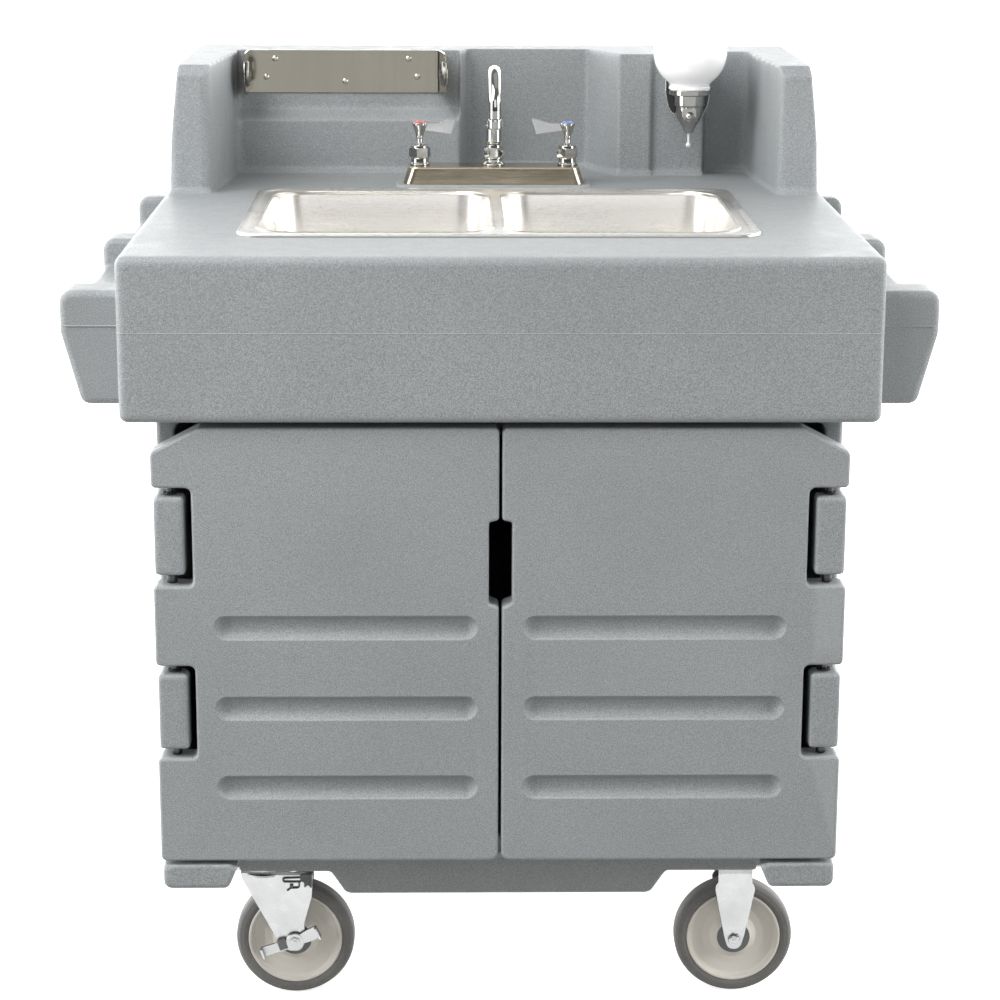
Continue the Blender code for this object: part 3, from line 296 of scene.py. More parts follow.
def baked(item):
    """The item with its modifiers applied to its mesh."""
    graph = bpy.context.evaluated_depsgraph_get()
    mesh = bpy.data.meshes.new_from_object(item.evaluated_get(graph))
    item.modifiers.clear()
    item.data = mesh
    return item


def boolean(item, tools, operation):
    """Joins ('UNION'), cuts ('DIFFERENCE') or trims ('INTERSECT') and removes the tools."""
    for tool in tools:
        step = item.modifiers.new("Boolean", 'BOOLEAN')
        step.operation = operation
        step.solver = 'EXACT'
        step.object = tool
    baked(item)
    for tool in tools:
        bpy.data.objects.remove(tool, do_unlink=True)
    shade(item)
    return item


def softened(item, voxel, rounds, triangles):
    """A moulding's skin: one closed mesh with every edge and inner corner softly rounded."""
    remesh = item.modifiers.new("Skin", 'REMESH')
    remesh.mode = 'VOXEL'
    remesh.voxel_size = voxel
    blur = item.modifiers.new("Soften", 'SMOOTH')
    blur.factor = 0.5
    blur.iterations = rounds
    baked(item)
    faces = 2 * len(item.data.polygons)
    if faces > triangles:
        thin = item.modifiers.new("Thin", 'DECIMATE')
        thin.ratio = triangles / faces
        baked(item)
    item.data.shade_smooth()
    return item


def joined(name, items):
    """One object from several."""
    shape = bmesh.new()
    for item in items:
        shape.from_mesh(item.data)
        bpy.data.objects.remove(item, do_unlink=True)
    mesh = bpy.data.meshes.new(name)
    shape.to_mesh(mesh)
    shape.free()
    made = bpy.data.objects.new(name, mesh)
    bpy.context.scene.collection.objects.link(made)
    return made


def moved(item, matrix):
    item.data.transform(matrix)
    return item


def about(point, axis, degrees):
    """A turn about an axis through a point."""
    place = Matrix.Translation(point)
    return place @ Matrix.Rotation(math.radians(degrees), 4, axis) @ place.inverted()


def flattened(item):
    """Keeps wide flat faces flat in shading where they meet rounded edges."""
    weights = item.modifiers.new("Weights", 'WEIGHTED_NORMAL')
    weights.keep_sharp = True
    return baked(item)


def deliver(item, body, slot, material, *nodes):
    """Gives a finished piece its material, its body and the nodes it stands for; the slot
    argument is not used.
    """
    flattened(item)
    item.data.materials.clear()
    item.data.materials.append(material)
    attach(item, body)
    if nodes:
        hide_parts(*nodes)
    return item


# ---------------------------------------------------------------- materials
class Paint:
    """A node material in the making, over coordinates fixed to the piece's own mesh."""

    def __init__(self, name, **values):
        self.material = bpy.data.materials.new(name)
        self.material.use_nodes = True
        self.tree = self.material.node_tree
        self.shader = self.tree.nodes["Principled BSDF"]
        self.place = self.add('TexCoord').outputs['Object']
        self.bumps = None
        for key, value in values.items():
            self.put(key, value)

    def put(self, key, value):
        """Sets or links one of the shader's inputs; underscores stand for spaces."""
        self.fill(self.shader.inputs[key.replace('_', ' ')], value)

    def fill(self, socket, value):
        if isinstance(value, bpy.types.NodeSocket):
            self.tree.links.new(value, socket)
        else:
            socket.default_value = value

    def add(self, kind, settings=None, **values):
        node = self.tree.nodes.new('ShaderNode' + kind)
        for key, value in (settings or {}).items():
            setattr(node, key, value)
        for key, value in values.items():
            self.fill(node.inputs[key.replace('_', ' ')], value)
        return node

    def noise(self, scale, detail=2.0, stretch=(1, 1, 1), shift=0.0, roughness=0.5):
        spot = self.add('Mapping', Vector=self.place, Scale=stretch, Location=(shift, shift, 0))
        return self.add('TexNoise', Vector=spot.outputs[0], Scale=scale, Detail=detail,
                        Roughness=roughness).outputs[0]

    def between(self, value, low, high, to_low=0.0, to_high=1.0):
        """Maps low..high to a new range, held at its ends."""
        return self.add('MapRange', Value=value, From_Min=low, From_Max=high, To_Min=to_low,
                        To_Max=to_high).outputs[0]

    def mix(self, factor, first, second, kind='MIX'):
        return self.add('MixRGB', {'blend_type': kind}, Fac=factor, Color1=first,
                        Color2=second).outputs[0]

    def maths(self, kind, first, second):
        node = self.add('Math', {'operation': kind})
        self.fill(node.inputs[0], first)
        self.fill(node.inputs[1], second)
        return node.outputs[0]

    def bump(self, height, strength, distance):
        node = self.add('Bump', Height=height, Strength=strength, Distance=distance)
        if self.bumps is not None:
            self.fill(node.inputs['Normal'], self.bumps)
        self.bumps = node.outputs[0]
        self.put('Normal', self.bumps)

    def edges(self):
        """1 on sharp outer edges, 0 on flats and in corners: the mask for the painted edge
        highlight.
        """
        return self.between(self.add('NewGeometry').outputs['Pointiness'], 0.51, 0.57)


def tint(r, g, b):
    """A display colour, 0 to 255, as a linear one."""
    return tuple(((c / 255 + 0.055) / 1.055) ** 2.4 if c > 10 else c / 255 / 12.92
                 for c in (r, g, b)) + (1.0,)


def scaled(colour, factor):
    return tuple(min(c * factor, 1.0) for c in colour[:3]) + (1.0,)


def granite(name, colour):
    """Rotomoulded plastic: fine dark and light speckle, faint clouds, a leathery skin."""
    paint = Paint(name, Specular_IOR_Level=0.35)
    clouds = paint.noise(5.0, 4.0)
    base = paint.mix(paint.between(clouds, 0.35, 0.65), scaled(colour, 0.95),
                     scaled(colour, 1.05))
    grain = paint.noise(760.0, 2.0, roughness=0.7)
    base = paint.mix(paint.between(grain, 0.36, 0.56), scaled(colour, 0.62), base)
    dark = paint.noise(980.0, 1.0, shift=7.7)
    base = paint.mix(paint.between(dark, 0.57, 0.68, 0.0, 0.6), base, scaled(colour, 0.42))
    light = paint.noise(900.0, 1.0, shift=3.1)
    base = paint.mix(paint.between(light, 0.58, 0.70, 0.0, 0.40), base, scaled(colour, 1.7))
    # Sharp outer edges lightened: a painted highlight along the rims.
    base = paint.mix(paint.maths('MULTIPLY', paint.edges(), 0.22), base, scaled(colour, 1.5))
    paint.put('Base_Color', base)
    scuffs = paint.noise(38.0, 6.0, (1, 1, 0.35), roughness=0.7)
    paint.put('Roughness', paint.between(scuffs, 0.3, 0.7, 0.44, 0.62))
    paint.bump(grain, 0.30, 0.0005)
    paint.bump(paint.noise(150.0, 3.0, shift=1.3), 0.14, 0.0010)
    return paint.material


def brushed(name, colour, stretch, roughness=(0.20, 0.34), grain=900.0, depth_of_grain=0.05):
    """Steel with fine straight brush marks along the axis that `stretch` leaves long."""
    paint = Paint(name, Metallic=1.0)
    lines = paint.noise(grain, 3.0, stretch, roughness=0.65)
    streaks = paint.noise(grain / 6, 2.0, stretch, shift=2.0)
    cloud = paint.noise(7.0, 3.0, shift=5.0)
    base = paint.mix(paint.between(lines, 0.3, 0.7), scaled(colour, 0.90), scaled(colour, 1.06))
    base = paint.mix(paint.between(streaks, 0.45, 0.75, 0.0, 0.35), base, scaled(colour, 0.84))
    paint.put('Base_Color', base)
    mark = paint.maths('ADD', paint.maths('MULTIPLY', lines, 0.6),
                       paint.maths('MULTIPLY', cloud, 0.4))
    paint.put('Roughness', paint.between(mark, 0.35, 0.65, *roughness))
    paint.bump(lines, depth_of_grain, 0.0004)
    return paint.material


def polished(name, colour, roughness=0.06, smudge=0.10):
    """Plating or polished metal with faint smudges and hairline scratches."""
    paint = Paint(name, Metallic=1.0, Base_Color=colour)
    cloud = paint.noise(24.0, 5.0, roughness=0.6)
    paint.put('Roughness', paint.between(cloud, 0.42, 0.72, roughness, roughness + smudge))
    hairs = paint.noise(260.0, 4.0, (1, 0.12, 1), roughness=0.8)
    paint.put('Base_Color', paint.mix(paint.between(hairs, 0.55, 0.8, 0.0, 0.25), colour,
                                      scaled(colour, 0.86)))
    paint.bump(hairs, 0.015, 0.0003)
    return paint.material


def zinc_plate(name, colour):
    """Bright zinc plating: faint patches and a cloudy gloss, dulled in places."""
    paint = Paint(name, Metallic=1.0)
    patches = paint.add('TexVoronoi', Vector=paint.place, Scale=95.0).outputs['Color']
    patch = paint.add('RGBToBW', Color=patches).outputs[0]
    cloud = paint.noise(30.0, 4.0)
    base = paint.mix(paint.between(patch, 0.2, 0.8), scaled(colour, 0.98), scaled(colour, 1.02))
    base = paint.mix(paint.between(cloud, 0.55, 0.8, 0.0, 0.30), base, scaled(colour, 0.80))
    paint.put('Base_Color', base)
    paint.put('Roughness', paint.between(cloud, 0.3, 0.7, 0.20, 0.40))
    paint.bump(paint.noise(420.0, 2.0), 0.05, 0.0003)
    return paint.material


def plastic(name, colour, roughness=(0.30, 0.42), grain=500.0, relief=0.06, mottle=0.05,
            **values):
    """Moulded plastic: a fine skin, faint mottling and sharp outer edges lightened as a painted
    highlight.
    """
    paint = Paint(name, **values)
    cloud = paint.noise(16.0, 4.0)
    base = paint.mix(paint.between(cloud, 0.3, 0.7), scaled(colour, 1 - mottle),
                     scaled(colour, 1 + mottle))
    # Sharp outer edges lightened: a painted highlight along the rims.
    base = paint.mix(paint.maths('MULTIPLY', paint.edges(), 0.25), base,
                     tuple(c + 0.25 * (1 - c) for c in colour[:3]) + (1.0,))
    paint.put('Base_Color', base)
    scuffs = paint.noise(70.0, 6.0, shift=4.0, roughness=0.75)
    paint.put('Roughness', paint.between(scuffs, 0.3, 0.7, *roughness))
    paint.bump(paint.noise(grain, 2.0), relief, 0.0004)
    return paint.material


def rubber(name, colour):
    """Tread rubber with a dull bloom and fine dust in its pores."""
    paint = Paint(name, Specular_IOR_Level=0.3)
    cloud = paint.noise(26.0, 5.0, roughness=0.65)
    dust = paint.noise(520.0, 3.0, shift=2.2)
    base = paint.mix(paint.between(cloud, 0.35, 0.7), scaled(colour, 0.86), scaled(colour, 1.14))
    base = paint.mix(paint.between(dust, 0.56, 0.74, 0.0, 0.4), base, scaled(colour, 1.7))
    paint.put('Base_Color', base)
    paint.put('Roughness', paint.between(cloud, 0.3, 0.7, 0.62, 0.80))
    paint.bump(dust, 0.12, 0.0005)
    return paint.material


SHELL = granite("granite_plastic", tint(160, 164, 166))
SINK = brushed("brushed_sink_steel", tint(241, 239, 235), (0.04, 1.0, 1.0), (0.24, 0.34),
               2600.0, 0.012)
CHROME = polished("chrome", tint(182, 182, 179), 0.05, 0.09)
DECK_STEEL = brushed("deck_steel", tint(206, 197, 176), (0.04, 1.0, 1.0), (0.16, 0.24))
# Lever blades: a satin copy of the chrome, its darker tint a painted shade.
SHADED_LEVER_STEEL = polished("lever_steel_painted_shade", tint(172, 173, 174), 0.14, 0.10)
# Towel hub discs: a darker copy of the bright steel, painted shade on the discs.
SHADED_HUB_STEEL = polished("hub_steel_painted_shade", tint(150, 150, 147), 0.26, 0.10)
TOWEL_STEEL = brushed("towel_steel", tint(176, 172, 161), (1.0, 1.0, 0.04), (0.12, 0.20),
                      700.0, 0.03)
BRIGHT = polished("bright_steel", tint(214, 212, 205), 0.10, 0.12)
ZINC = zinc_plate("zinc_plate", tint(166, 167, 167))
# A much darker copy of the zinc plating: painted shade for the hinge gaps and the soap cheeks.
SHADED_ZINC = zinc_plate("zinc_painted_shade", tint(72, 73, 75))
TYRE = rubber("tyre_rubber", tint(126, 125, 123))
CORE = plastic("wheel_core_plastic", tint(236, 232, 223), (0.38, 0.52), 380.0, 0.08, 0.04)
GUARD = plastic("grey_nylon", tint(96, 98, 100), (0.40, 0.55))
# The bowl glows through a little emission: painted light that keeps the white bowl evenly
# bright.
GLOWING_GLOBE = plastic("soap_bowl_plastic_painted_glow", tint(246, 247, 248), (0.14, 0.24), 300.0, 0.01, 0.01,
                Subsurface_Weight=0.35, Subsurface_Radius=(0.02, 0.02, 0.02),
                Coat_Weight=0.4, Coat_Roughness=0.08, Emission_Strength=0.16,
                Emission_Color=(1.0, 1.0, 1.0, 1.0))
WHITE = plastic("white_plastic", tint(238, 239, 239), (0.28, 0.40), 420.0, 0.04, 0.03)
FRESH = plastic("natural_tank_plastic", tint(226, 230, 232), (0.34, 0.48), 240.0, 0.10, 0.03,
                Subsurface_Weight=0.4, Subsurface_Radius=(0.03, 0.03, 0.03))
WASTE = plastic("grey_tank_plastic", tint(92, 96, 100), (0.40, 0.56), 240.0, 0.12, 0.08)
BLACK = plastic("black_plastic", tint(38, 39, 41), (0.36, 0.52), 620.0, 0.14, 0.12)
BLUE = plastic("blue_plastic", tint(44, 92, 164), (0.26, 0.38), 500.0, 0.05, 0.08)
RED = plastic("red_plastic", tint(178, 46, 44), (0.26, 0.38), 500.0, 0.05, 0.08)
CLEAR = plastic("clear_hose", tint(206, 212, 214), (0.16, 0.28), 260.0, 0.06, 0.04,
                Transmission_Weight=0.45, IOR=1.42)
ENAMEL = plastic("white_enamel", tint(236, 237, 235), (0.14, 0.24), 130.0, 0.03, 0.02,
                 Coat_Weight=0.6, Coat_Roughness=0.06)
INDEX_RED = plastic("index_red", tint(214, 62, 74), (0.14, 0.22), 500.0, 0.02, 0.05,
                    Coat_Weight=0.6)
INDEX_BLUE = plastic("index_blue", tint(66, 122, 200), (0.14, 0.22), 500.0, 0.02, 0.05,
                     Coat_Weight=0.6)


# ---------------------------------------------------------------- studio
SKY_PEAK = 10.0
ROOM = ((-0.25, 0.33), (-0.10, 0.14), (0.15, 0.12), (0.30, 0.15), (0.70, 0.26))
SWEEP = ((-0.20, 0.33), (-0.14, 9.5), (0.12, 9.5), (0.20, 2.5), (0.58, 2.3), (0.70, 0.26))


def studio():
    """White sweep behind, dim room in front, soft key from the upper left, and the camera."""
    scene = bpy.context.scene
    scene.view_settings.view_transform = 'Standard'
    world = bpy.data.worlds.new("studio")
    world.use_nodes = True
    scene.world = world
    tree = world.node_tree
    split = tree.nodes.new('ShaderNodeSeparateXYZ')
    tree.links.new(tree.nodes.new('ShaderNodeTexCoord').outputs['Generated'],
                   split.inputs[0])
    behind = tree.nodes.new('ShaderNodeMapRange')
    behind.inputs['From Min'].default_value = -0.10
    behind.inputs['From Max'].default_value = 0.10
    tree.links.new(split.outputs['Y'], behind.inputs[0])
    room = sky_ramp(tree, split.outputs['Z'], ROOM, (1.0, 0.97, 0.92))
    sweep = sky_ramp(tree, split.outputs['Z'], SWEEP, (1.0, 1.0, 1.0))
    both = tree.nodes.new('ShaderNodeMixRGB')
    tree.links.new(behind.outputs[0], both.inputs[0])
    tree.links.new(room, both.inputs[1])
    tree.links.new(sweep, both.inputs[2])
    tree.links.new(both.outputs[0], tree.nodes["Background"].inputs['Color'])
    tree.nodes["Background"].inputs['Strength'].default_value = SKY_PEAK

    soft_light("key_softbox", (-1.7, -1.6, 3.4), (0, 0, 0.85), (2.4, 2.0), 102)
    soft_light("top_softbox", (0.6, 0.2, 3.6), (0, 0, 0.9), (2.6, 2.2), 6)
    soft_light("front_fill", (0.5, -4.2, 2.6), (0, 0, 0.65), (3.2, 1.6), 23)
    soft_light("right_strip", (3.0, -1.2, 1.5), (0, 0, 0.8), (1.2, 2.4), 60)
    soft_light("left_strip", (-3.0, -1.4, 1.4), (0, 0, 0.8), (1.2, 2.4), 52)
    floor_sheet()

    camera = bpy.data.objects.new("camera", bpy.data.cameras.new("camera"))
    scene.collection.objects.link(camera)
    camera.data.sensor_width = 36.0
    camera.data.lens = 95.44
    camera.location = (-0.0552, -3.4578, 1.4649)
    camera.rotation_euler = (Matrix.Rotation(math.radians(-1.03), 3, 'Z')
                             @ Matrix.Rotation(math.radians(90 - 14.20), 3, 'X')
                             @ Matrix.Rotation(math.radians(0.21), 3, 'Z')).to_euler()
    scene.camera = camera


def sky_ramp(tree, height, stops, colour):
    """Brightness of one half of the sky against height, from straight down to straight up."""
    place = tree.nodes.new('ShaderNodeMapRange')
    place.inputs['From Min'].default_value = -1.0
    tree.links.new(height, place.inputs[0])
    ramp = tree.nodes.new('ShaderNodeValToRGB')
    while len(ramp.color_ramp.elements) < len(stops):
        ramp.color_ramp.elements.new(0.5)
    for element, (rise, level) in zip(ramp.color_ramp.elements, stops):
        element.position = (rise + 1) / 2
        element.color = (*(level / SKY_PEAK * part for part in colour), 1)
    tree.links.new(place.outputs[0], ramp.inputs[0])
    return ramp.outputs[0]


def soft_light(name, place, target, size, watts):
    light = bpy.data.lights.new(name, 'AREA')
    light.shape = 'RECTANGLE'
    light.size, light.size_y = size
    light.energy = watts
    item = bpy.data.objects.new(name, light)
    bpy.context.scene.collection.objects.link(item)
    item.location = place
    item.rotation_euler = (Vector(target) - Vector(place)).to_track_quat('-Z', 'Y').to_euler()


def floor_sheet():
    """White floor: glows into the white sweep behind, and dims far out in front."""
    shape = bmesh.new()
    bmesh.ops.create_grid(shape, x_segments=24, y_segments=24, size=45.0)
    floor = from_bmesh("floor", shape)
    paint = Paint("white_floor", Base_Color=(0.93, 0.93, 0.93, 1), Roughness=0.7,
                  Specular_IOR_Level=0.1)
    reach = paint.add('VectorMath', {'operation': 'LENGTH'})
    paint.fill(reach.inputs[0], paint.place)
    glow = paint.between(reach.outputs['Value'], 0.45, 1.3, 0.62, 1.0)
    ahead = paint.between(paint.add('SeparateXYZ', Vector=paint.place).outputs['Y'],
                          -2.2, -1.3, 0.10, 1.0)
    paint.put('Emission_Color', (1, 1, 1, 1))
    paint.put('Emission_Strength', paint.maths('MULTIPLY', glow, ahead))
    floor.data.materials.append(paint.material)
    floor.visible_diffuse = False


# ---------------------------------------------------------------- counter
WING = 0.436
WING_FRONT = 0.545
PANELS = {"left": 0.775, "towel": 0.805, "middle": 0.830, "soap": 0.752, "well": 0.792}
POSTS = ((0.050, 0.115), (0.452, 0.518), (0.859, 0.896))


def backsplash_plan(forward=0.0):
    """Plan of the wings and the stepped panels; `forward` pushes the faces to the user."""
    corners = [(-WING, WING_FRONT, 0.014), (-0.381, WING_FRONT, 0.012),
               (-0.363, PANELS["left"], 0.012), (-0.047, PANELS["left"], 0.004),
               (-0.035, PANELS["middle"], 0.006), (0.137, PANELS["middle"], 0.006),
               (0.177, PANELS["soap"] - 0.007, 0.004), (0.223, PANELS["soap"] - 0.007, 0.003),
               (0.227, PANELS["soap"], 0.002), (0.298, PANELS["soap"], 0.003),
               (0.303, PANELS["well"], 0.004), (0.363, PANELS["well"], 0.012),
               (0.381, WING_FRONT, 0.012), (WING, WING_FRONT, 0.014),
               (WING, 0.897 + forward, 0.012), (-WING, 0.897 + forward, 0.012)]
    plan = [(x, depth(y - forward)) for x, y, _ in corners]
    return rounded(plan, [r for _, _, r in corners], 4)


def backsplash():
    wall = slab("wall", backsplash_plan(), (SLAB_TOP - 0.015, WALL_TOP), 'Z')
    left, towel = PANELS["left"], PANELS["towel"]
    ledge = [(depth(left - 0.030), 1.0585), (depth(left), 1.0645), (depth(towel), 1.0765),
             (depth(towel), WALL_TOP + 0.02), (depth(left - 0.030), WALL_TOP + 0.02)]
    recess = slab("recess", rounded(ledge, [0, 0, 0.005, 0, 0]), (-0.3615, -0.047), 'X')
    cuts = [recess]
    for side in (-1, 1):
        lean = [(WING + 0.03, SLAB_TOP), (WING, SLAB_TOP), (WING - 0.0035, 1.060),
                (WING - 0.0142, WALL_TOP - 0.002), (0.4160, WALL_TOP + 0.02),
                (WING + 0.03, 1.20)]
        cuts.append(slab("lean", mirrored(rounded(lean, [0, 0, 0.02, 0.010, 0, 0]), side),
                         (depth(0.50), depth(0.95)), 'Y'))
        bow = [(depth(WING_FRONT - 0.02), WALL_TOP + 0.02), (depth(WING_FRONT - 0.02), 1.145),
               (depth(WING_FRONT + 0.001), 1.147), (depth(WING_FRONT + 0.012), WALL_TOP - 0.001),
               (depth(WING_FRONT + 0.030), WALL_TOP + 0.02)]
        span = sorted((side * 0.350, side * 0.450))
        cuts.append(slab("bow", rounded(bow, [0, 0, 0.012, 0.014, 0]), span, 'X'))
    return boolean(wall, cuts, 'DIFFERENCE')


def side_handle(side):
    """Grip rail with three taller posts, all softly rounded."""
    root = SLAB_X - 0.012
    shoulder, flank = 0.893, (0.4925, SLAB_BOTTOM + 0.0125)
    post = [(root, 0.942), (HANDLE_X, 0.942), (HANDLE_X, shoulder), flank, (root, flank[1])]
    rail = [(0.475, 0.905), (HANDLE_X, 0.905), (HANDLE_X, shoulder), flank,
            (0.475, flank[1])]
    post = mirrored(rounded(post, [0, 0.014, 0.030, 0.012, 0]), side)
    rail = mirrored(rounded(rail, [0.008, 0.008, 0.030, 0.012, 0.008]), side)
    parts = [slab("post", post, (depth(near), depth(far)), 'Y', 0.007, 4)
             for near, far in POSTS]
    bar = slab("rail", rail, (depth(POSTS[0][0] + 0.010), depth(POSTS[2][1] - 0.010)), 'Y')
    return boolean(bar, parts, 'UNION')


def counter_moulding():
    skin = 0.0004                       # keeps the parting bead inside the CAD box
    body = brick("counter_moulding", (-SLAB_X + skin, FRONT_Y + skin, SLAB_BOTTOM),
                 (SLAB_X - skin, BACK_Y - skin, SLAB_TOP), 0.0095, 4)
    foot = slab("foot", backsplash_plan(0.007), (SLAB_TOP - 0.012, SLAB_TOP + 0.0045), 'Z')
    boolean(body, [backsplash(), foot, side_handle(-1), side_handle(1)], 'UNION')
    pocket = brick("pocket", (-SLAB_X + 0.0321, depth(0.060), SLAB_BOTTOM - 0.05),
                   (SLAB_X - 0.0321, BACK_Y - 0.028, SLAB_TOP - DECK), 0.010)
    sink_hole = slab("hole", rounded(box_outline(-0.304, 0.304, depth(0.172), depth(0.560)),
                                     0.030), (SLAB_TOP - 0.05, SLAB_TOP + 0.02), 'Z')
    boolean(body, [pocket, sink_hole], 'DIFFERENCE')
    softened(body, MOULD_VOXEL, 2 if FINE else 1, MOULD_TRIANGLES)
    deliver(body, "root", "shell", SHELL, "counter_top")

    centre = (0, (FAUCET_LOW.y + FAUCET_HIGH.y) / 2)
    pad = pillow("faucet_pad", 0.135, 0.035, 0.010, centre, SLAB_TOP - 0.003,
                 FAUCET_LOW.z - 0.0002, 0.0018, 0.002)
    deliver(pad, "root", "shell", SHELL)


def parting_bead():
    """Fine ridge where the two halves of the mould met, round the slab and its posts."""
    radius = 0.0009
    out_x, edge = SLAB_X - 0.0008, HANDLE_X - 0.0010
    half = [(0, FRONT_Y + radius), (out_x, FRONT_Y + radius)]
    for near, far in POSTS:
        half += [(out_x, depth(near) - 0.0003), (edge, depth(near) - 0.0003),
                 (edge, depth(far) + 0.0003), (out_x, depth(far) + 0.0003)]
    half += [(out_x, BACK_Y - radius), (0, BACK_Y - radius)]
    loops = []
    for side in (-1, 1):
        path = rounded([(side * x, y) for x, y in half], 0.009, 5, closed=False)
        loops.append(tube("bead", [(p[0], p[1], PARTING_Z) for p in path], radius, 2))
    deliver(joined("parting_bead", loops), "root", "shell", SHELL)


# ---------------------------------------------------------------- cabinet
CABINET_X = 0.408
BODY_Y = (0.062, 0.870)
FLOOR_Z = 0.262
DOORWAY_TOP = 0.785
LIP_Z = (0.2363, 0.2428)
HINGE_X = 0.390
HINGE_Y = depth(0.032)
KNUCKLES = ((0.6075, 0.7035), (0.3905, 0.4850))
POCKETS = ((0.595, 0.7146), (0.380, 0.496))


def cabinet_moulding():
    top = CABINET_HIGH.z
    outer = rounded(box_outline(-CABINET_X, CABINET_X, depth(BODY_Y[0]), depth(BODY_Y[1])),
                    [0.006, 0.006, 0.020, 0.020])
    body = slab("cabinet_moulding", outer, (LIP_Z[0], top), 'Z')
    front, step, rear = depth(0.012), depth(0.058), depth(0.8705)
    lip_plan = rounded([(-0.409, front), (-0.326, front), (-0.322, step), (0.322, step),
                        (0.326, front), (0.409, front), (0.409, rear), (-0.409, rear)],
                       [0.012, 0.004, 0.004, 0.004, 0.004, 0.012, 0.018, 0.018])
    parts = [slab("lip", lip_plan, LIP_Z, 'Z', 0.0026)]
    hull = rounded([(-0.190, 0.1745), (0.190, 0.1745), (0.2085, 0.2080), (0.322, 0.2080),
                    (0.322, 0.246), (-0.322, 0.246), (-0.322, 0.2080), (-0.2085, 0.2080)],
                   [0.010, 0.010, 0.006, 0.004, 0, 0, 0.004, 0.006])
    hull = slab("hull", hull, (depth(0.062), depth(0.820)), 'Y', 0.004)
    for vertex in hull.data.vertices:
        if vertex.co.y < 0:
            vertex.co.y += (0.246 - vertex.co.z) * 0.32
    parts.append(hull)
    foot = rounded([(0.4088, 0.2400), (0.4088, 0.2115), (0.330, 0.2115), (0.318, 0.2400)],
                   [0, 0.010, 0.008, 0])
    for side in (-1, 1):
        for near, far in ((0.0125, 0.100), (0.780, 0.8698)):
            parts.append(slab("foot", mirrored(foot, side), (depth(near), depth(far)), 'Y',
                              0.004))
        for low, high in KNUCKLES:
            x0, x1 = sorted((side * 0.3725, side * 0.4088))
            parts.append(brick("knuckle", (x0, depth(0.0135), low), (x1, depth(0.075), high),
                               0.0045, 3))
        for end in (-1, 1):
            x = 0.306 if side > 0 else -0.300
            parts.append(brick("boss", (x - 0.062, end * 0.260 - 0.060, 0.1905),
                               (x + 0.062, end * 0.260 + 0.060, 0.240), 0.004))
    boolean(body, parts, 'UNION')
    inner = CABINET_X - 0.020
    cavity = slab("cavity", rounded(box_outline(-inner, inner, depth(0.082), depth(0.850)),
                                    0.018), (FLOOR_Z, top + 0.02), 'Z')
    opening = rounded(box_outline(-inner + 0.002, inner - 0.002, FLOOR_Z + 0.0004,
                                  DOORWAY_TOP), [0.004, 0.004, 0.014, 0.014])
    cuts = [cavity, slab("doorway", opening, (depth(0.040), depth(0.095)), 'Y')]
    for side in (-1, 1):
        cuts.append(lathe("bore", [(0, 0.30), (0.0046, 0.30), (0.0046, 0.80), (0, 0.80)],
                          (side * HINGE_X, HINGE_Y, 0), steps=24))
        panel = rounded(box_outline(depth(0.150), depth(0.790), 0.330, 0.735), 0.030)
        x0, x1 = sorted((side * (CABINET_X - 0.0028), side * (CABINET_X + 0.02)))
        cuts.append(slab("panel", panel, (x0, x1), 'X', 0.0025))
    back = rounded(box_outline(-0.330, 0.200, 0.330, 0.735), 0.030)
    cuts.append(slab("panel", back, (depth(BODY_Y[1]) - 0.0028, depth(BODY_Y[1]) + 0.02), 'Y',
                     0.0025))
    boolean(body, cuts, 'DIFFERENCE')
    softened(body, MOULD_VOXEL, 2 if FINE else 1, MOULD_TRIANGLES)
    deliver(body, "root", "shell", SHELL, "cabinet_body")


def door_leaf(name, side):
    """Moulded door: rounded edges, hinge pockets, half of the grip notch, three grooves."""
    low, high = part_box(name)
    x_in, x_out = sorted((abs(low.x), abs(high.x)))
    x_in, top = x_in - 0.0008, high.z - 0.0030
    corners = [(x_in, low.z, 0.011), (x_out, low.z, 0.007)]
    for z0, z1 in reversed(POCKETS):
        corners += [(x_out, z0, 0.005), (0.3637, z0, 0.006), (0.3637, z1, 0.008),
                    (x_out, z1, 0.006)]
    corners += [(x_out, 0.757, 0.008), (0.354, top, 0.010), (x_in, top, 0.007),
                (x_in, 0.6755, 0.005), (0.0138, 0.6725, 0.004), (0.0138, 0.5735, 0.004),
                (x_in, 0.5690, 0.005)]
    outline = rounded([c[:2] for c in corners], [c[2] for c in corners], 5)
    leaf = slab(name + "_leaf", mirrored(outline, side), (low.y, high.y), 'Y', 0.0046, 5)
    cuts = []
    for z in (0.5436, 0.4429, 0.3428):
        cuts.append(capsule("groove", (0.0419, 0.3261), 0.0160, (low.y - 0.0064, z), side))
        cuts.append(capsule("groove_lip", (0.0419, 0.3261), 0.0215, (low.y - 0.0150, z), side))
    cuts.append(lathe("bore", [(0, 0.30), (0.0050, 0.30), (0.0050, 0.757), (0, 0.757)],
                      (side * HINGE_X, HINGE_Y, 0), steps=24))
    x0, x1 = sorted((side * 0.040, side * 0.345))
    cuts.append(brick("inner_panel", (x0, high.y - 0.004, low.z + 0.045),
                      (x1, high.y + 0.03, high.z - 0.045), 0.010))
    boolean(leaf, cuts, 'DIFFERENCE')
    deliver(leaf, name, "shell", SHELL, name)


def capsule(name, span, radius, axis, side):
    """Round bar along X with ball ends, centred on (y, z), that scoops out a groove."""
    before, after = arc((0, 0), radius, -90, 0, 8), arc((0, 0), radius, 0, 90, 8)
    profile = [(0.0, span[0] - radius)] + [(r, span[0] + h) for r, h in before][1:]
    profile += [(r, span[1] + h) for r, h in after][:-1] + [(0.0, span[1] + radius)]
    return lathe(name, profile, (0, *axis), (side, 0, 0), 96)


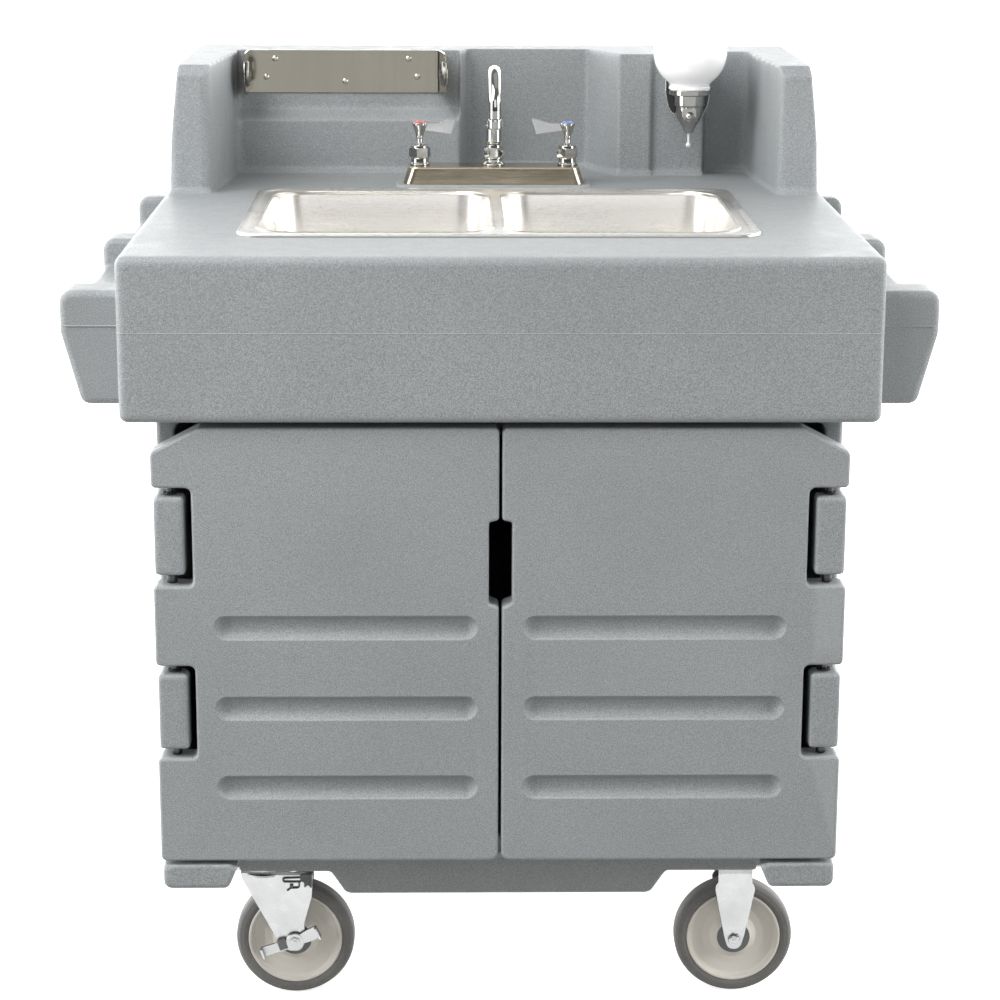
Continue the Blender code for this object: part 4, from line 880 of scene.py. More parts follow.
def hinge_rod(name, side):
    """Zinc rod with a washer in each gap between a knuckle and the door."""
    low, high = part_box(name)
    x, y = side * HINGE_X, HINGE_Y
    parts = [lathe("rod", [(0, low.z), (0.0040, low.z), (0.0040, high.z), (0, high.z)],
                   (x, y, 0), steps=32, soften=0.0008)]
    for (z0, z1), (k0, k1) in zip(POCKETS, KNUCKLES):
        for a, b in ((k1 + 0.0006, k1 + 0.0024), (k0 - 0.0024, k0 - 0.0006)):
            parts.append(lathe("washer", [(0, a), (0.0085, a), (0.0085, b), (0, b)],
                               (x, y, 0), steps=32, soften=0.0004))
        parts.append(lathe("sleeve", [(0, z0 + 0.001), (0.0062, z0 + 0.001),
                                      (0.0062, k0 - 0.0030), (0, k0 - 0.0030)], (x, y, 0),
                           steps=32, soften=0.0005))
    # The hinge set takes the darker zinc copy: painted shade in the gaps round the knuckles.
    deliver(joined(name + "_set", parts), "root", "zinc", SHADED_ZINC, name)


# ---------------------------------------------------------------- sink
BOWL_X = (0.0080, 0.2945)
DRAIN_X = 0.149
BOWL_Y = (0.182, 0.547)
BOWL_SHEET = 0.0015
DRAIN_RADIUS = 0.0222


def bowl_centre(side):
    return (side * (BOWL_X[0] + BOWL_X[1]) / 2, depth((BOWL_Y[0] + BOWL_Y[1]) / 2))


def drain_centre(side):
    return (side * DRAIN_X, depth((BOWL_Y[0] + BOWL_Y[1]) / 2))


def drain_z():
    """Height of the bowl's floor at the drain."""
    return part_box("drain_strainer_right")[1].z - 0.0013


def pressed_sink():
    """Two drawn bowls in one rim: rolled outer edge, flat ledge, rounded lips."""
    steps = 12
    centre = (0, (SINK_LOW.y + SINK_HIGH.y) / 2)
    half_x, half_y = SINK_HIGH.x, (SINK_HIGH.y - SINK_LOW.y) / 2
    top = SINK_HIGH.z
    shape = bmesh.new()

    def skin(loops):
        rows = [[shape.verts.new(p) for p in loop] for loop in loops]
        for a, b in zip(rows, rows[1:]):
            for i in range(len(a)):
                j = (i + 1) % len(a)
                shape.faces.new((a[i], a[j], b[j], b[i]))
        return rows[-1]

    def rim_edges(row):
        return [shape.edges.get((row[i], row[(i + 1) % len(row)])) for i in range(len(row))]

    outer = [(0.0, top - 0.0036), (0.0, top - 0.0022)]
    outer += [(0.0022 * (1 - math.cos(math.radians(a))), top - 0.0022
               + 0.0022 * math.sin(math.radians(a))) for a in (22, 45, 68, 90)]
    outer += [(0.0060, top), (0.0092, top - 0.0001), (0.0106, top - 0.0007),
              (0.0116, top - 0.0015), (0.0130, top - 0.0018)]
    last = skin([ring_points(half_x - inset, half_y - inset, 0.030, centre, z, steps)
                 for inset, z in outer])
    edges = rim_edges(last)
    ledge_z = top - 0.0018
    lip, floor = 0.0045, drain_z() + 0.0022
    for side in (-1, 1):
        middle = bowl_centre(side)
        hx, hy = (BOWL_X[1] - BOWL_X[0]) / 2, (BOWL_Y[1] - BOWL_Y[0]) / 2
        corner, fillet, draft = 0.046, 0.030, 0.006
        loops = [(-lip - 0.0015, ledge_z, corner + lip + 0.0015)]
        loops += [(-lip * math.cos(math.radians(a)), ledge_z - lip + lip
                   * math.sin(math.radians(a)), corner + lip * math.cos(math.radians(a)))
                  for a in (90, 70, 50, 30, 12, 0)]
        wall_low = floor + fillet
        for k in range(1, 5):
            share = k / 4
            loops.append((draft * share, ledge_z - lip + (wall_low - ledge_z + lip) * share,
                          corner))
        for k in range(1, 8):
            a = math.radians(90 * k / 7)
            loops.append((draft + fillet * (1 - math.cos(a)), wall_low - fillet * math.sin(a),
                          corner))
        rows = []
        for inset, z, radius in loops:
            rows.append(ring_points(hx - inset, hy - inset, radius, middle, z, steps))
        drain = drain_z()
        start_x, start_y = hx - draft - fillet, hy - draft - fillet
        sump = drain_centre(side)
        for share in (0.35, 0.65, 0.88):
            reach = 1 - share
            spot = [m * reach + d * share for m, d in zip(middle, sump)]
            rows.append(ring_points(0.046 + (start_x - 0.046) * reach,
                                    0.046 + (start_y - 0.046) * reach, 0.046, spot,
                                    floor + (drain + 0.0004 - floor) * share, steps))
        for radius, z in ((0.046, drain + 0.0004), (0.042, drain), (DRAIN_RADIUS, drain),
                          (DRAIN_RADIUS - 0.0006, drain - 0.0010)):
            rows.append(ring_points(radius, radius, radius, sump, z, steps))
        first = [shape.verts.new(p) for p in rows[0]]
        above = first
        for row in rows[1:]:
            below = [shape.verts.new(p) for p in row]
            for i in range(len(above)):
                j = (i + 1) % len(above)
                shape.faces.new((above[i], above[j], below[j], below[i]))
            above = below
        edges += rim_edges(first)
    bmesh.ops.triangle_fill(shape, use_beauty=True, use_dissolve=False, edges=edges)
    bmesh.ops.remove_doubles(shape, verts=shape.verts, dist=1e-5)
    bmesh.ops.recalc_face_normals(shape, faces=shape.faces)
    ledge = [f for f in shape.faces if f.calc_center_median().z > top - 0.001
             and abs(f.normal.z) > 0.99]
    if sum(f.normal.z * f.calc_area() for f in ledge) < 0:
        bmesh.ops.reverse_faces(shape, faces=shape.faces)
    mesh = bpy.data.meshes.new("pressed_sink")
    shape.to_mesh(mesh)
    shape.free()
    sink = bpy.data.objects.new("pressed_sink", mesh)
    bpy.context.scene.collection.objects.link(sink)
    wall = sink.modifiers.new("Sheet", 'SOLIDIFY')
    wall.thickness = BOWL_SHEET
    wall.offset = -1.0
    baked(sink)
    shade(sink, 50.0)
    deliver(sink, "root", "sink_steel", SINK, "sink_basin")


def drain_set(name, side):
    """Flange, perforated cup with a lift knob, lock nut and tail below the bowl."""
    x, y = bowl_centre(side)
    z = drain_z() + 0.0002
    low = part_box(name)[0].z
    under = drain_z() - 0.0020
    flange = lathe("flange", [(0.0190, z + 0.0016), (0.0225, z + 0.0011), (0.0385, z + 0.0009),
                              (0.0398, z), (0.0215, z - 0.0004), (0.0205, z - 0.012),
                              (0.0188, z - 0.012)], (x, y, 0), closed=True, steps=64,
                   soften=0.0006)
    plate = lathe("plate", [(0, z - 0.0098), (0.0189, z - 0.0098), (0.0189, z - 0.0112),
                            (0, z - 0.0112)], (x, y, 0), steps=48)
    pins = []
    for ring, count in ((0.0070, 8), (0.0130, 14)):
        for k in range(count):
            a = 2 * math.pi * k / count
            spot = (x + ring * math.cos(a), y + ring * math.sin(a), 0)
            pins.append(lathe("pin", [(0, z - 0.006), (0.0017, z - 0.006), (0.0017, z - 0.014),
                                      (0, z - 0.014)], spot, steps=12))
    boolean(plate, [joined("pins", pins)], 'DIFFERENCE')
    knob = lathe("knob", [(0, z - 0.0020), (0.0034, z - 0.0024), (0.0042, z - 0.0044),
                          (0.0020, z - 0.0070), (0.0020, z - 0.0100), (0, z - 0.0100)],
                 (x, y, 0), steps=24, soften=0.0006)
    tail = lathe("tail", [(0.0190, under), (0.0190, low + 0.0016), (0.0184, low), (0.0166, low),
                          (0.0166, under)], (x, y, 0), closed=True, steps=48)
    nut = slab("nut", polygon((x, y), 0.060, 8, 22.5), (under - 0.0150, under - 0.0004), 'Z',
               0.0012)
    washer = lathe("washer", [(0.0200, under), (0.0330, under), (0.0330, under - 0.0010),
                              (0.0200, under - 0.0010)], (x, y, 0), closed=True, steps=48)
    parts = [flange, plate, knob, tail, nut, washer]
    deliver(joined(name + "_set", parts), "root", "bright_steel", BRIGHT, name)


# ---------------------------------------------------------------- faucet
FAUCET_Y = (FAUCET_LOW.y + FAUCET_HIGH.y) / 2
VALVE_X = 0.1016
SPOUT_RADIUS = 0.0085


def hex_nut(name, centre, across, z0, z1, sides=6, turn=0.0):
    """A nut with chamfered corners."""
    nut = slab(name, polygon(centre[:2], across, sides, turn), (z0, z1), 'Z')
    corner = across / 2 / math.cos(math.pi / sides)
    drop = (corner - across / 2) * 0.6
    crown = lathe("crown", [(0, z1), (across / 2 * 0.98, z1), (corner + 0.0002, z1 - drop),
                            (corner + 0.0002, z0 + drop), (across / 2 * 0.98, z0), (0, z0)],
                  (*centre[:2], 0), steps=48)
    return boolean(nut, [crown], 'INTERSECT')


def faucet_housing():
    """Brushed steel deck cover, drawn in towards its top, with rolled edges."""
    half_x = (FAUCET_HIGH.x - FAUCET_LOW.x) / 2
    half_y = (FAUCET_HIGH.y - FAUCET_LOW.y) / 2
    low, top = FAUCET_LOW.z, FAUCET_HIGH.z
    centre = (0, FAUCET_Y)
    loops = [ring_points(half_x, half_y, 0.014, centre, low + rise, 12)
             for rise in (0.0, 0.0015)]
    for share in (0.25, 0.5, 0.75, 1.0):
        loops.append(ring_points(half_x - 0.0066 * share, half_y - 0.0016 * share, 0.014,
                                 centre, low + 0.0015 + (top - low - 0.0037) * share, 12))
    for degrees in (25, 50, 75, 90):
        a = math.radians(degrees)
        loops.append(ring_points(half_x - 0.0066 - 0.0022 * (1 - math.cos(a)),
                                 half_y - 0.0016 - 0.0022 * (1 - math.cos(a)), 0.0135, centre,
                                 top - 0.0022 + 0.0022 * math.sin(a), 12))
    body = loft("faucet_housing", loops)
    bores = [lathe("bore", [(0, 0.98), (0.0122, 0.98), (0.0122, 1.03), (0, 1.03)],
                   (x, FAUCET_Y, 0), steps=40) for x in (-VALVE_X, 0, VALVE_X)]
    boolean(body, bores, 'DIFFERENCE')
    deliver(body, "root", "bright_steel", DECK_STEEL, "faucet_body")


def valve_set(name, side):
    """Base ring, column, bonnet nut and stem above the deck; shank and nut below."""
    low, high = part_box(name)
    x, seat = side * VALVE_X, FAUCET_HIGH.z + 0.0003
    at = (x, FAUCET_Y, 0)
    column = lathe("column", [(0, seat), (0.0138, seat), (0.0138, seat + 0.0022),
                              (0.0124, seat + 0.0036), (0.0120, seat + 0.0090),
                              (0.0128, seat + 0.0108), (0.0, seat + 0.0108)], at,
                   soften=0.0006)
    nut = hex_nut("nut", at, 0.0262, seat + 0.0104, seat + 0.0236, 6, 15)
    cap = lathe("cap", [(0, seat + 0.0230), (0.0122, seat + 0.0230), (0.0118, seat + 0.0268),
                        (0.0060, seat + 0.0282), (0.0042, seat + 0.0300),
                        (0.0042, high.z), (0, high.z)], at, soften=0.0008)
    shank = lathe("shank", [(0, low.z), (0.0098, low.z), (0.0112, low.z + 0.0014),
                            (0.0112, seat), (0, seat)], at, steps=32)
    lock = hex_nut("lock", at, 0.0330, SLAB_TOP - DECK - 0.0100, SLAB_TOP - DECK - 0.0006)
    parts = [column, nut, cap, shank, lock]
    deliver(joined(name + "_set", parts), "root", "chrome", CHROME, name)


def lever_set(name, side):
    """Cone hub and a flat wing blade that grows taller towards its slanted tip."""
    low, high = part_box(name)
    x = side * VALVE_X
    hub = lathe(name + "_hub", [(0, high.z - 0.0008), (0.0094, high.z - 0.0008),
                        (0.0104, high.z - 0.0020), (0.0099, high.z - 0.0045),
                        (0.0068, high.z - 0.0130), (0.0050, high.z - 0.0190),
                        (0.0049, low.z), (0, low.z)], (x, FAUCET_Y, 0), soften=0.0009)
    tip = min(abs(low.x), abs(high.x))
    root, foot, crest = VALVE_X - 0.0050, high.z - 0.0118, high.z - 0.0010
    outline = rounded([(root, foot), (root, crest - 0.0010), (0.0760, crest - 0.0004),
                       (tip + 0.0080, crest + 0.0046), (tip, crest + 0.0052),
                       (tip + 0.0062, high.z - 0.0170), (0.0780, high.z - 0.0142)],
                      [0.001, 0.001, 0.030, 0.020, 0.0012, 0.0030, 0.020], 6)
    blade = slab(name + "_blade", mirrored(outline, side), (-0.0011, 0.0011), 'Y', 0.0006, 2)
    for vertex in blade.data.vertices:
        vertex.co.y += FAUCET_Y + (vertex.co.z - foot) * 0.30
    deliver(hub, name, "chrome", CHROME, name)
    # The blade takes the darker satin copy of the chrome: painted shade.
    deliver(blade, name, "chrome", SHADED_LEVER_STEEL)


def index_button(name, body, material, slot):
    low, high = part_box(name)
    middle = (low + high) / 2
    top = high.z
    button = lathe(name + "_dome", [(0, top), (0.0030, top - 0.0001), (0.0055, top - 0.0004),
                                    (0.0080, top - 0.0012), (0.0086, top - 0.0020),
                                    (0.0086, low.z), (0, low.z)],
                   (middle.x, middle.y, 0), steps=48, soften=0.0003)
    deliver(button, body, slot, material, name)


def spout_base():
    """Fixed base: flange, neck and eight-sided nut, with the shank through the deck."""
    low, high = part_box("spout_nut")
    seat = FAUCET_HIGH.z + 0.0003
    at = (0, FAUCET_Y, 0)
    foot = lathe("foot", [(0, seat), (0.0158, seat), (0.0158, seat + 0.0018),
                          (0.0140, seat + 0.0032), (0.0120, seat + 0.0050),
                          (0.0120, seat + 0.0075), (0.0134, seat + 0.0092),
                          (0.0134, seat + 0.0110), (0, seat + 0.0110)], at, soften=0.0007)
    nut = hex_nut("nut", at, 0.0256, seat + 0.0108, high.z - 0.0040, 8, 22.5)
    neck = lathe("neck", [(0, high.z - 0.0060), (0.0112, high.z - 0.0060),
                          (0.0108, high.z - 0.0010), (0.0092, high.z - 0.0002),
                          (0, high.z - 0.0002)], at, soften=0.0005)
    shank = lathe("shank", [(0, low.z), (0.0098, low.z), (0.0112, low.z + 0.0012),
                            (0.0112, seat), (0, seat)], at, steps=32)
    lock = hex_nut("lock", at, 0.0330, SLAB_TOP - DECK - 0.0090, SLAB_TOP - DECK - 0.0006)
    parts = [foot, nut, neck, shank, lock]
    deliver(joined("spout_base", parts), "root", "chrome", CHROME, "spout_nut")


def gooseneck():
    """Swivel collar and bent tube, ending in a threaded socket for the aerator."""
    low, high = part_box("faucet_spout")
    tip_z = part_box("aerator")[1].z
    reach = (FAUCET_Y + 0.0) - (low.y + SPOUT_RADIUS)
    bend = reach / 2
    crown = high.z - SPOUT_RADIUS - bend
    path = [(0, FAUCET_Y, low.z + 0.020), (0, FAUCET_Y, crown - 0.012)]
    path += [(0, y, z) for y, z in arc((FAUCET_Y - bend, crown), bend, 0, 180, 40)]
    path.append((0, FAUCET_Y - reach, tip_z + 0.0004))
    neck = tube("neck", path, SPOUT_RADIUS, 10)
    collar = lathe("collar", [(0, low.z + 0.0285), (0.0092, low.z + 0.0285),
                              (0.0098, low.z + 0.0272), (0.0122, low.z + 0.0262),
                              (0.0126, low.z + 0.0246), (0.0116, low.z + 0.0226),
                              (0.0110, low.z + 0.0200), (0.0110, low.z + 0.0040),
                              (0.0101, low.z + 0.0022), (0.0098, low.z), (0, low.z)],
                   (0, FAUCET_Y, 0), soften=0.0008, steps=56)
    deliver(joined("gooseneck", [neck, collar]), "spout", "chrome", CHROME, "faucet_spout")


def aerator_tip():
    """Knurled sleeve with a recessed mesh screen."""
    low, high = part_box("aerator")
    middle = (low + high) / 2
    x, y = middle.x, middle.y
    sleeve = lathe("sleeve", [(0.0086, high.z), (0.0094, high.z - 0.0006),
                              (0.0099, high.z - 0.0026), (0.0099, low.z + 0.0026),
                              (0.0094, low.z + 0.0004), (0.0084, low.z), (0.0078, low.z + 0.001),
                              (0.0078, low.z + 0.0040), (0.0078, high.z)], (x, y, 0),
                   closed=True, soften=0.0004)
    ribs = []
    for k in range(30):
        a = 2 * math.pi * k / 30
        spot = Vector((x + 0.00985 * math.cos(a), y + 0.00985 * math.sin(a), 0))
        rib = brick("rib", (-0.0003, -0.00035, low.z + 0.0030), (0.00012, 0.00035,
                    high.z - 0.0030), 0.0001, 1)
        ribs.append(moved(rib, Matrix.Translation(spot) @ Matrix.Rotation(a, 4, 'Z')))
    screen = [lathe("screen", [(0, low.z + 0.0040), (0.0079, low.z + 0.0040),
                               (0.0079, low.z + 0.0046), (0, low.z + 0.0046)], (x, y, 0))]
    for k in range(-3, 4):
        width = math.sqrt(0.0077 ** 2 - (0.0021 * k) ** 2)
        for along in ((width, 0), (0, width)):
            cross = (0, 0.0021 * k) if along[1] == 0 else (0.0021 * k, 0)
            ends = [(x + cross[0] - along[0], y + cross[1] - along[1], low.z + 0.0038),
                    (x + cross[0] + along[0], y + cross[1] + along[1], low.z + 0.0038)]
            screen.append(tube("wire", ends, 0.00028, 1))
    deliver(joined("aerator_tip", [sleeve] + ribs + screen), "spout", "chrome", CHROME,
            "aerator")


# ---------------------------------------------------------------- soap dispenser
GLOBE_X = (GLOBE_LOW.x + GLOBE_HIGH.x) / 2
GLOBE_Y = (GLOBE_LOW.y + GLOBE_HIGH.y) / 2
GLOBE_RADIUS = (GLOBE_HIGH.x - GLOBE_LOW.x) / 2


RING_TOP = GLOBE_LOW.z + 0.0062
RING_LOW = RING_TOP - 0.0078


def soap_bowl():
    """Globe that funnels into a two-step neck, with a filler plug let into its crown."""
    centre_z = GLOBE_HIGH.z - GLOBE_RADIUS
    profile = [(0.0, GLOBE_HIGH.z - 0.0012), (0.0070, GLOBE_HIGH.z - 0.0012),
               (0.0074, GLOBE_HIGH.z - 0.0022), (0.0082, GLOBE_HIGH.z - 0.0022)]
    profile += [p for p in arc((0, centre_z), GLOBE_RADIUS, 79, -43, 40)]
    profile += [(0.0296, RING_TOP + 0.0090), (0.0278, RING_TOP + 0.0066),
                (0.0277, RING_TOP + 0.0038), (0.0287, RING_TOP + 0.0030),
                (0.0287, RING_TOP + 0.0002), (0.0, RING_TOP + 0.0002)]
    bowl = lathe("soap_bowl", profile, (GLOBE_X, GLOBE_Y, 0), steps=96, sharp=50)
    # The bowl's material glows a little: painted light.
    deliver(bowl, "root", "soap_bowl", GLOWING_GLOBE, "soap_globe")


def soap_cup():
    """Polished valve: collar, tulip body with a window and its latch, and a rod guide."""
    low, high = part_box("soap_valve")
    at = (GLOBE_X, GLOBE_Y, 0)
    collar, waist = RING_LOW - 0.0001, RING_LOW - 0.0154
    profile = [(0.0, collar), (0.0216, collar), (0.0223, collar - 0.0008),
               (0.0221, waist + 0.0012), (0.0212, waist), (0.0196, waist - 0.0004),
               (0.0193, waist - 0.0060), (0.0179, waist - 0.0138), (0.0144, waist - 0.0210),
               (0.0102, waist - 0.0272), (0.0080, waist - 0.0315), (0.0070, waist - 0.0345),
               (0.0052, low.z + 0.0034), (0.0025, low.z + 0.0032), (0.0025, low.z + 0.0250),
               (0.0, low.z + 0.0250)]
    cup = lathe("cup", profile, at, steps=72, soften=0.0007)
    window = slab("window", rounded([(GLOBE_X - 0.0105, waist - 0.0030),
                                     (GLOBE_X + 0.0085, waist - 0.0030),
                                     (GLOBE_X + 0.0085, waist - 0.0140),
                                     (GLOBE_X - 0.0010, waist - 0.0205),
                                     (GLOBE_X - 0.0105, waist - 0.0140)], 0.0022),
                  (GLOBE_Y - 0.024, GLOBE_Y - 0.0150), 'Y')
    boolean(cup, [window], 'DIFFERENCE')
    latch = lathe("latch", [(0, 0.0040), (0.0042, 0.0034), (0.0062, 0.0014), (0.0066, 0),
                            (0, 0)], (GLOBE_X + 0.0002, GLOBE_Y - 0.0144, waist - 0.0130),
                  (0, -1, 0.35), 32)
    deliver(joined("soap_cup", [cup, latch]), "root", "chrome", CHROME, "soap_valve")


def soap_holder():
    """Wall plate and arm, neck ring, and the curved cheeks that cradle the cup."""
    low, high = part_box("soap_bracket")
    wall = high.y
    plate = slab("plate", rounded(box_outline(GLOBE_X - 0.0150, GLOBE_X + 0.0150,
                                              RING_TOP - 0.0480, RING_TOP - 0.0010), 0.006),
                 (wall - 0.0036, wall), 'Y', 0.0011)
    ring = lathe("ring", [(0.0206, RING_LOW), (0.0284, RING_LOW), (0.0292, RING_LOW + 0.0008),
                          (0.0292, RING_TOP - 0.0008), (0.0284, RING_TOP),
                          (0.0206, RING_TOP)], (GLOBE_X, GLOBE_Y, 0), closed=True, steps=80,
                 soften=0.0005)
    arm = slab("arm", rounded([(GLOBE_Y + 0.0260, RING_TOP), (wall - 0.002, RING_TOP),
                               (wall - 0.002, RING_TOP - 0.0300), (wall - 0.012,
                               RING_TOP - 0.0120), (GLOBE_Y + 0.0240, RING_LOW)],
                              [0, 0, 0, 0.008, 0]),
               (GLOBE_X - 0.0068, GLOBE_X + 0.0068), 'X', 0.0012)
    left, right = soap_cheek(-1, 0.0337, 0.0130), soap_cheek(1, 0.0292, 0.0)
    screws = [dome_screw((GLOBE_X, wall - 0.0035, RING_TOP - drop), (0, -1, 0), 0.0042)
              for drop in (0.0410,)]
    # The cheek sheets take the darker zinc copy: painted shade between their rolled edges and
    # the cup.
    deliver(joined("soap_cheeks", [left[0], right[0]]), "root", "zinc", SHADED_ZINC)
    parts = [plate, ring, arm, left[1], right[1]] + screws
    deliver(joined("soap_holder", parts), "root", "chrome", CHROME, "soap_bracket")


def soap_cheek(side, reach, tab):
    """Curved plate from the neck ring down to the cup's waist, with a rolled bright edge."""
    scale = reach / 0.0337
    edge = [(0.0337, RING_TOP + tab), (0.0337, RING_TOP - 0.0030), (0.0322, RING_TOP - 0.0150),
            (0.0292, RING_TOP - 0.0250), (0.0250, RING_TOP - 0.0330),
            (0.0192, RING_TOP - 0.0362)]
    edge = [(x * scale if x > 0.02 else x, z) for x, z in edge]
    inner = [(0.0185, RING_TOP - 0.0250), (0.0205, RING_LOW), (0.0288, RING_LOW),
             (0.0288, RING_TOP + tab)]
    back = GLOBE_Y + 0.0030
    place = [(GLOBE_X + side * x, z) for x, z in edge + inner[:2]]
    if tab:
        place = [(GLOBE_X + side * x, z) for x, z in edge + inner]
    sheet = slab("cheek", rounded(place, 0.0006, 2), (back - 0.0008, back + 0.0008), 'Y',
                 0.0003, 1)
    rolled = [(GLOBE_X + side * (x - 0.0008), back, z) for x, z in edge]
    return [sheet, tube("roll", bent(rolled, 0.010, 5), 0.0011, 5)]


def push_rod():
    low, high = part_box("soap_plunger")
    radius, foot = 0.0036, low.z + 0.0036
    ball = [(radius * math.cos(math.radians(a)), foot + radius
             + radius * math.sin(math.radians(a))) for a in range(60, -90, -12)]
    profile = [(0, high.z), (0.0014, high.z - 0.0004), (0.0016, high.z - 0.001),
               (0.0016, foot + 2 * radius + 0.0002)] + ball + [(0, foot)]
    rod = lathe("push_rod", profile, (GLOBE_X, GLOBE_Y, 0), steps=32, sharp=60)
    deliver(rod, "soap_plunger", "white_plastic", WHITE, "soap_plunger")


def dome_screw(place, direction, radius):
    """Round screw head with a square drive recess."""
    height = radius * 0.52
    profile = [(radius * math.sin(math.radians(a)), height * math.cos(math.radians(a)))
               for a in range(24, 91, 11)]
    profile = [(0.0, height * 0.30), (radius * 0.30, height * 0.34),
               (radius * 0.34, height * 0.93)] + profile + [(radius, -0.0006), (0, -0.0006)]
    return lathe("screw", profile, place, direction, 28, sharp=45)


# ---------------------------------------------------------------- towel holder
def arm_outline(root_y, low, high, reach):
    radius = (high - low) / 2
    tip = root_y - reach + radius
    return [(root_y, low), (root_y, high)] + arc((tip, (low + high) / 2), radius, 90, 270, 24)


def towel_holder():
    """Bent strip: back plate, fixed left arm and the five screws that hold it."""
    low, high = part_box("towel_bracket")
    sheet = 0.0019
    reach = high.y - low.y
    plate = slab("plate", rounded(box_outline(low.x, high.x - 0.0022, low.z, high.z), 0.0008),
                 (high.y - sheet, high.y - 0.0001), 'Y', 0.0004, 2)
    arm = slab("arm", arm_outline(high.y, low.z, high.z, reach), (low.x, low.x + sheet), 'X',
               0.0005, 2)
    stub = slab("stub", rounded(box_outline(high.y - 0.0045, high.y - 0.0001, low.z, high.z),
                                0.0010), (high.x - 0.0040, high.x - 0.0002), 'X', 0.0006, 2)
    crease = tube("crease", [(low.x + 0.0012, high.y - 0.0012, low.z + 0.0004),
                             (low.x + 0.0012, high.y - 0.0012, high.z - 0.0004)], 0.0011, 4)
    width, height = high.x - low.x, high.z - low.z
    spots = ((0.145, 0.80), (0.097, 0.37), (0.512, 0.27), (0.845, 0.80), (0.890, 0.38))
    screws = [dome_screw((low.x + u * width, high.y - sheet, low.z + v * height), (0, -1, 0),
                         0.0044) for u, v in spots]
    deliver(joined("towel_screws", screws), "root", "bright_steel", BRIGHT)
    deliver(joined("towel_plate", [plate, arm, stub, crease]), "root", "bright_steel",
            TOWEL_STEEL, "towel_bracket")


def spring_arm():
    """Right arm, sprung outwards a little, with its hub disc."""
    pivot = next(j for j in frame["record"]["behaviour"]["joints"]
                 if j["name"] == "towel_arm_flex")["pos_m"]
    low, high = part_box("towel_spring_arm")
    flare = math.degrees(math.atan2(high.x - 0.0019 - pivot[0], pivot[1] - low.y))
    reach = (pivot[1] - low.y) / math.cos(math.radians(flare)) - 0.0003
    arm = slab("spring_arm", arm_outline(pivot[1], low.z, high.z, reach),
               (pivot[0], pivot[0] + 0.0019), 'X', 0.0005, 2)
    moved(arm, about(pivot, 'Z', flare))
    deliver(arm, "towel_spring_arm", "bright_steel", TOWEL_STEEL, "towel_spring_arm")
    hub_disc("towel_hub_right", "towel_spring_arm",
             Matrix.Rotation(math.radians(flare), 3, 'Z') @ Vector((-1, 0, 0)))


def hub_disc(name, body, direction):
    """Domed disc with a rolled rim that holds the towel roll's core."""
    low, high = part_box(name)
    radius, height = 0.0178, 0.0064
    dome = [(radius * math.sin(math.radians(a)), 0.0012 + (height - 0.0012)
             * math.cos(math.radians(a))) for a in range(0, 91, 9)]
    dome[0] = (0.0, height)
    profile = dome + [(radius, 0.0002), (0, 0.0002)]
    direction = Vector(direction).normalized()
    middle = (low + high) / 2
    root = middle - direction * 0.0048
    disc = lathe(name + "_disc", profile, root, direction, 56, sharp=60)
    # The disc takes the darker hub steel: painted shade.
    deliver(disc, body, "bright_steel", SHADED_HUB_STEEL, name)


# ---------------------------------------------------------------- plumbing in the cabinet
def waste_plumbing():
    """Tee under the two bowls: drop into the tank, branch from the left bowl, nuts."""
    low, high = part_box("waste_pipe")
    radius = 0.0163
    right, left = high.x - 0.0165, low.x + 0.0165
    y = (low.y + high.y) / 2
    branch_z = 0.715
    drop = tube("drop", [(right, y, high.z), (right, y, low.z)], radius, 8)
    path = [(left, y, high.z), (left, y, branch_z), (right - 0.006, y, branch_z)]
    branch = tube("branch", bent(path, 0.030, 12), radius * 0.985, 8)
    parts = [drop, branch]
    for x, z in ((right, branch_z + 0.026), (right, branch_z - 0.038), (right, low.z + 0.004)):
        parts.append(slip_nut((x, y, z), 'Z'))
    parts.append(slip_nut((right - 0.044, y, branch_z), 'X'))
    hub = tube("hub", [(right, y, branch_z - 0.026), (right, y, branch_z + 0.026)], 0.0190, 8)
    arm = tube("arm", [(right, y, branch_z), (right - 0.044, y, branch_z)], 0.0188, 8)
    parts += [hub, arm, slip_nut((left, y, high.z - 0.018), 'Z')]
    deliver(joined("waste_tee", parts), "root", "white_plastic", WHITE, "waste_pipe")


def slip_nut(place, axis):
    """Ribbed plastic coupling nut."""
    nut = lathe("slip", [(0.0150, 0.0), (0.0212, 0.0), (0.0222, 0.0014), (0.0222, 0.0050),
                         (0.0206, 0.0066), (0.0206, 0.0120), (0.0196, 0.0132),
                         (0.0150, 0.0132)], place, (0, 0, 1) if axis == 'Z' else (1, 0, 0),
                closed=True, steps=12, soften=0.0005)
    return nut


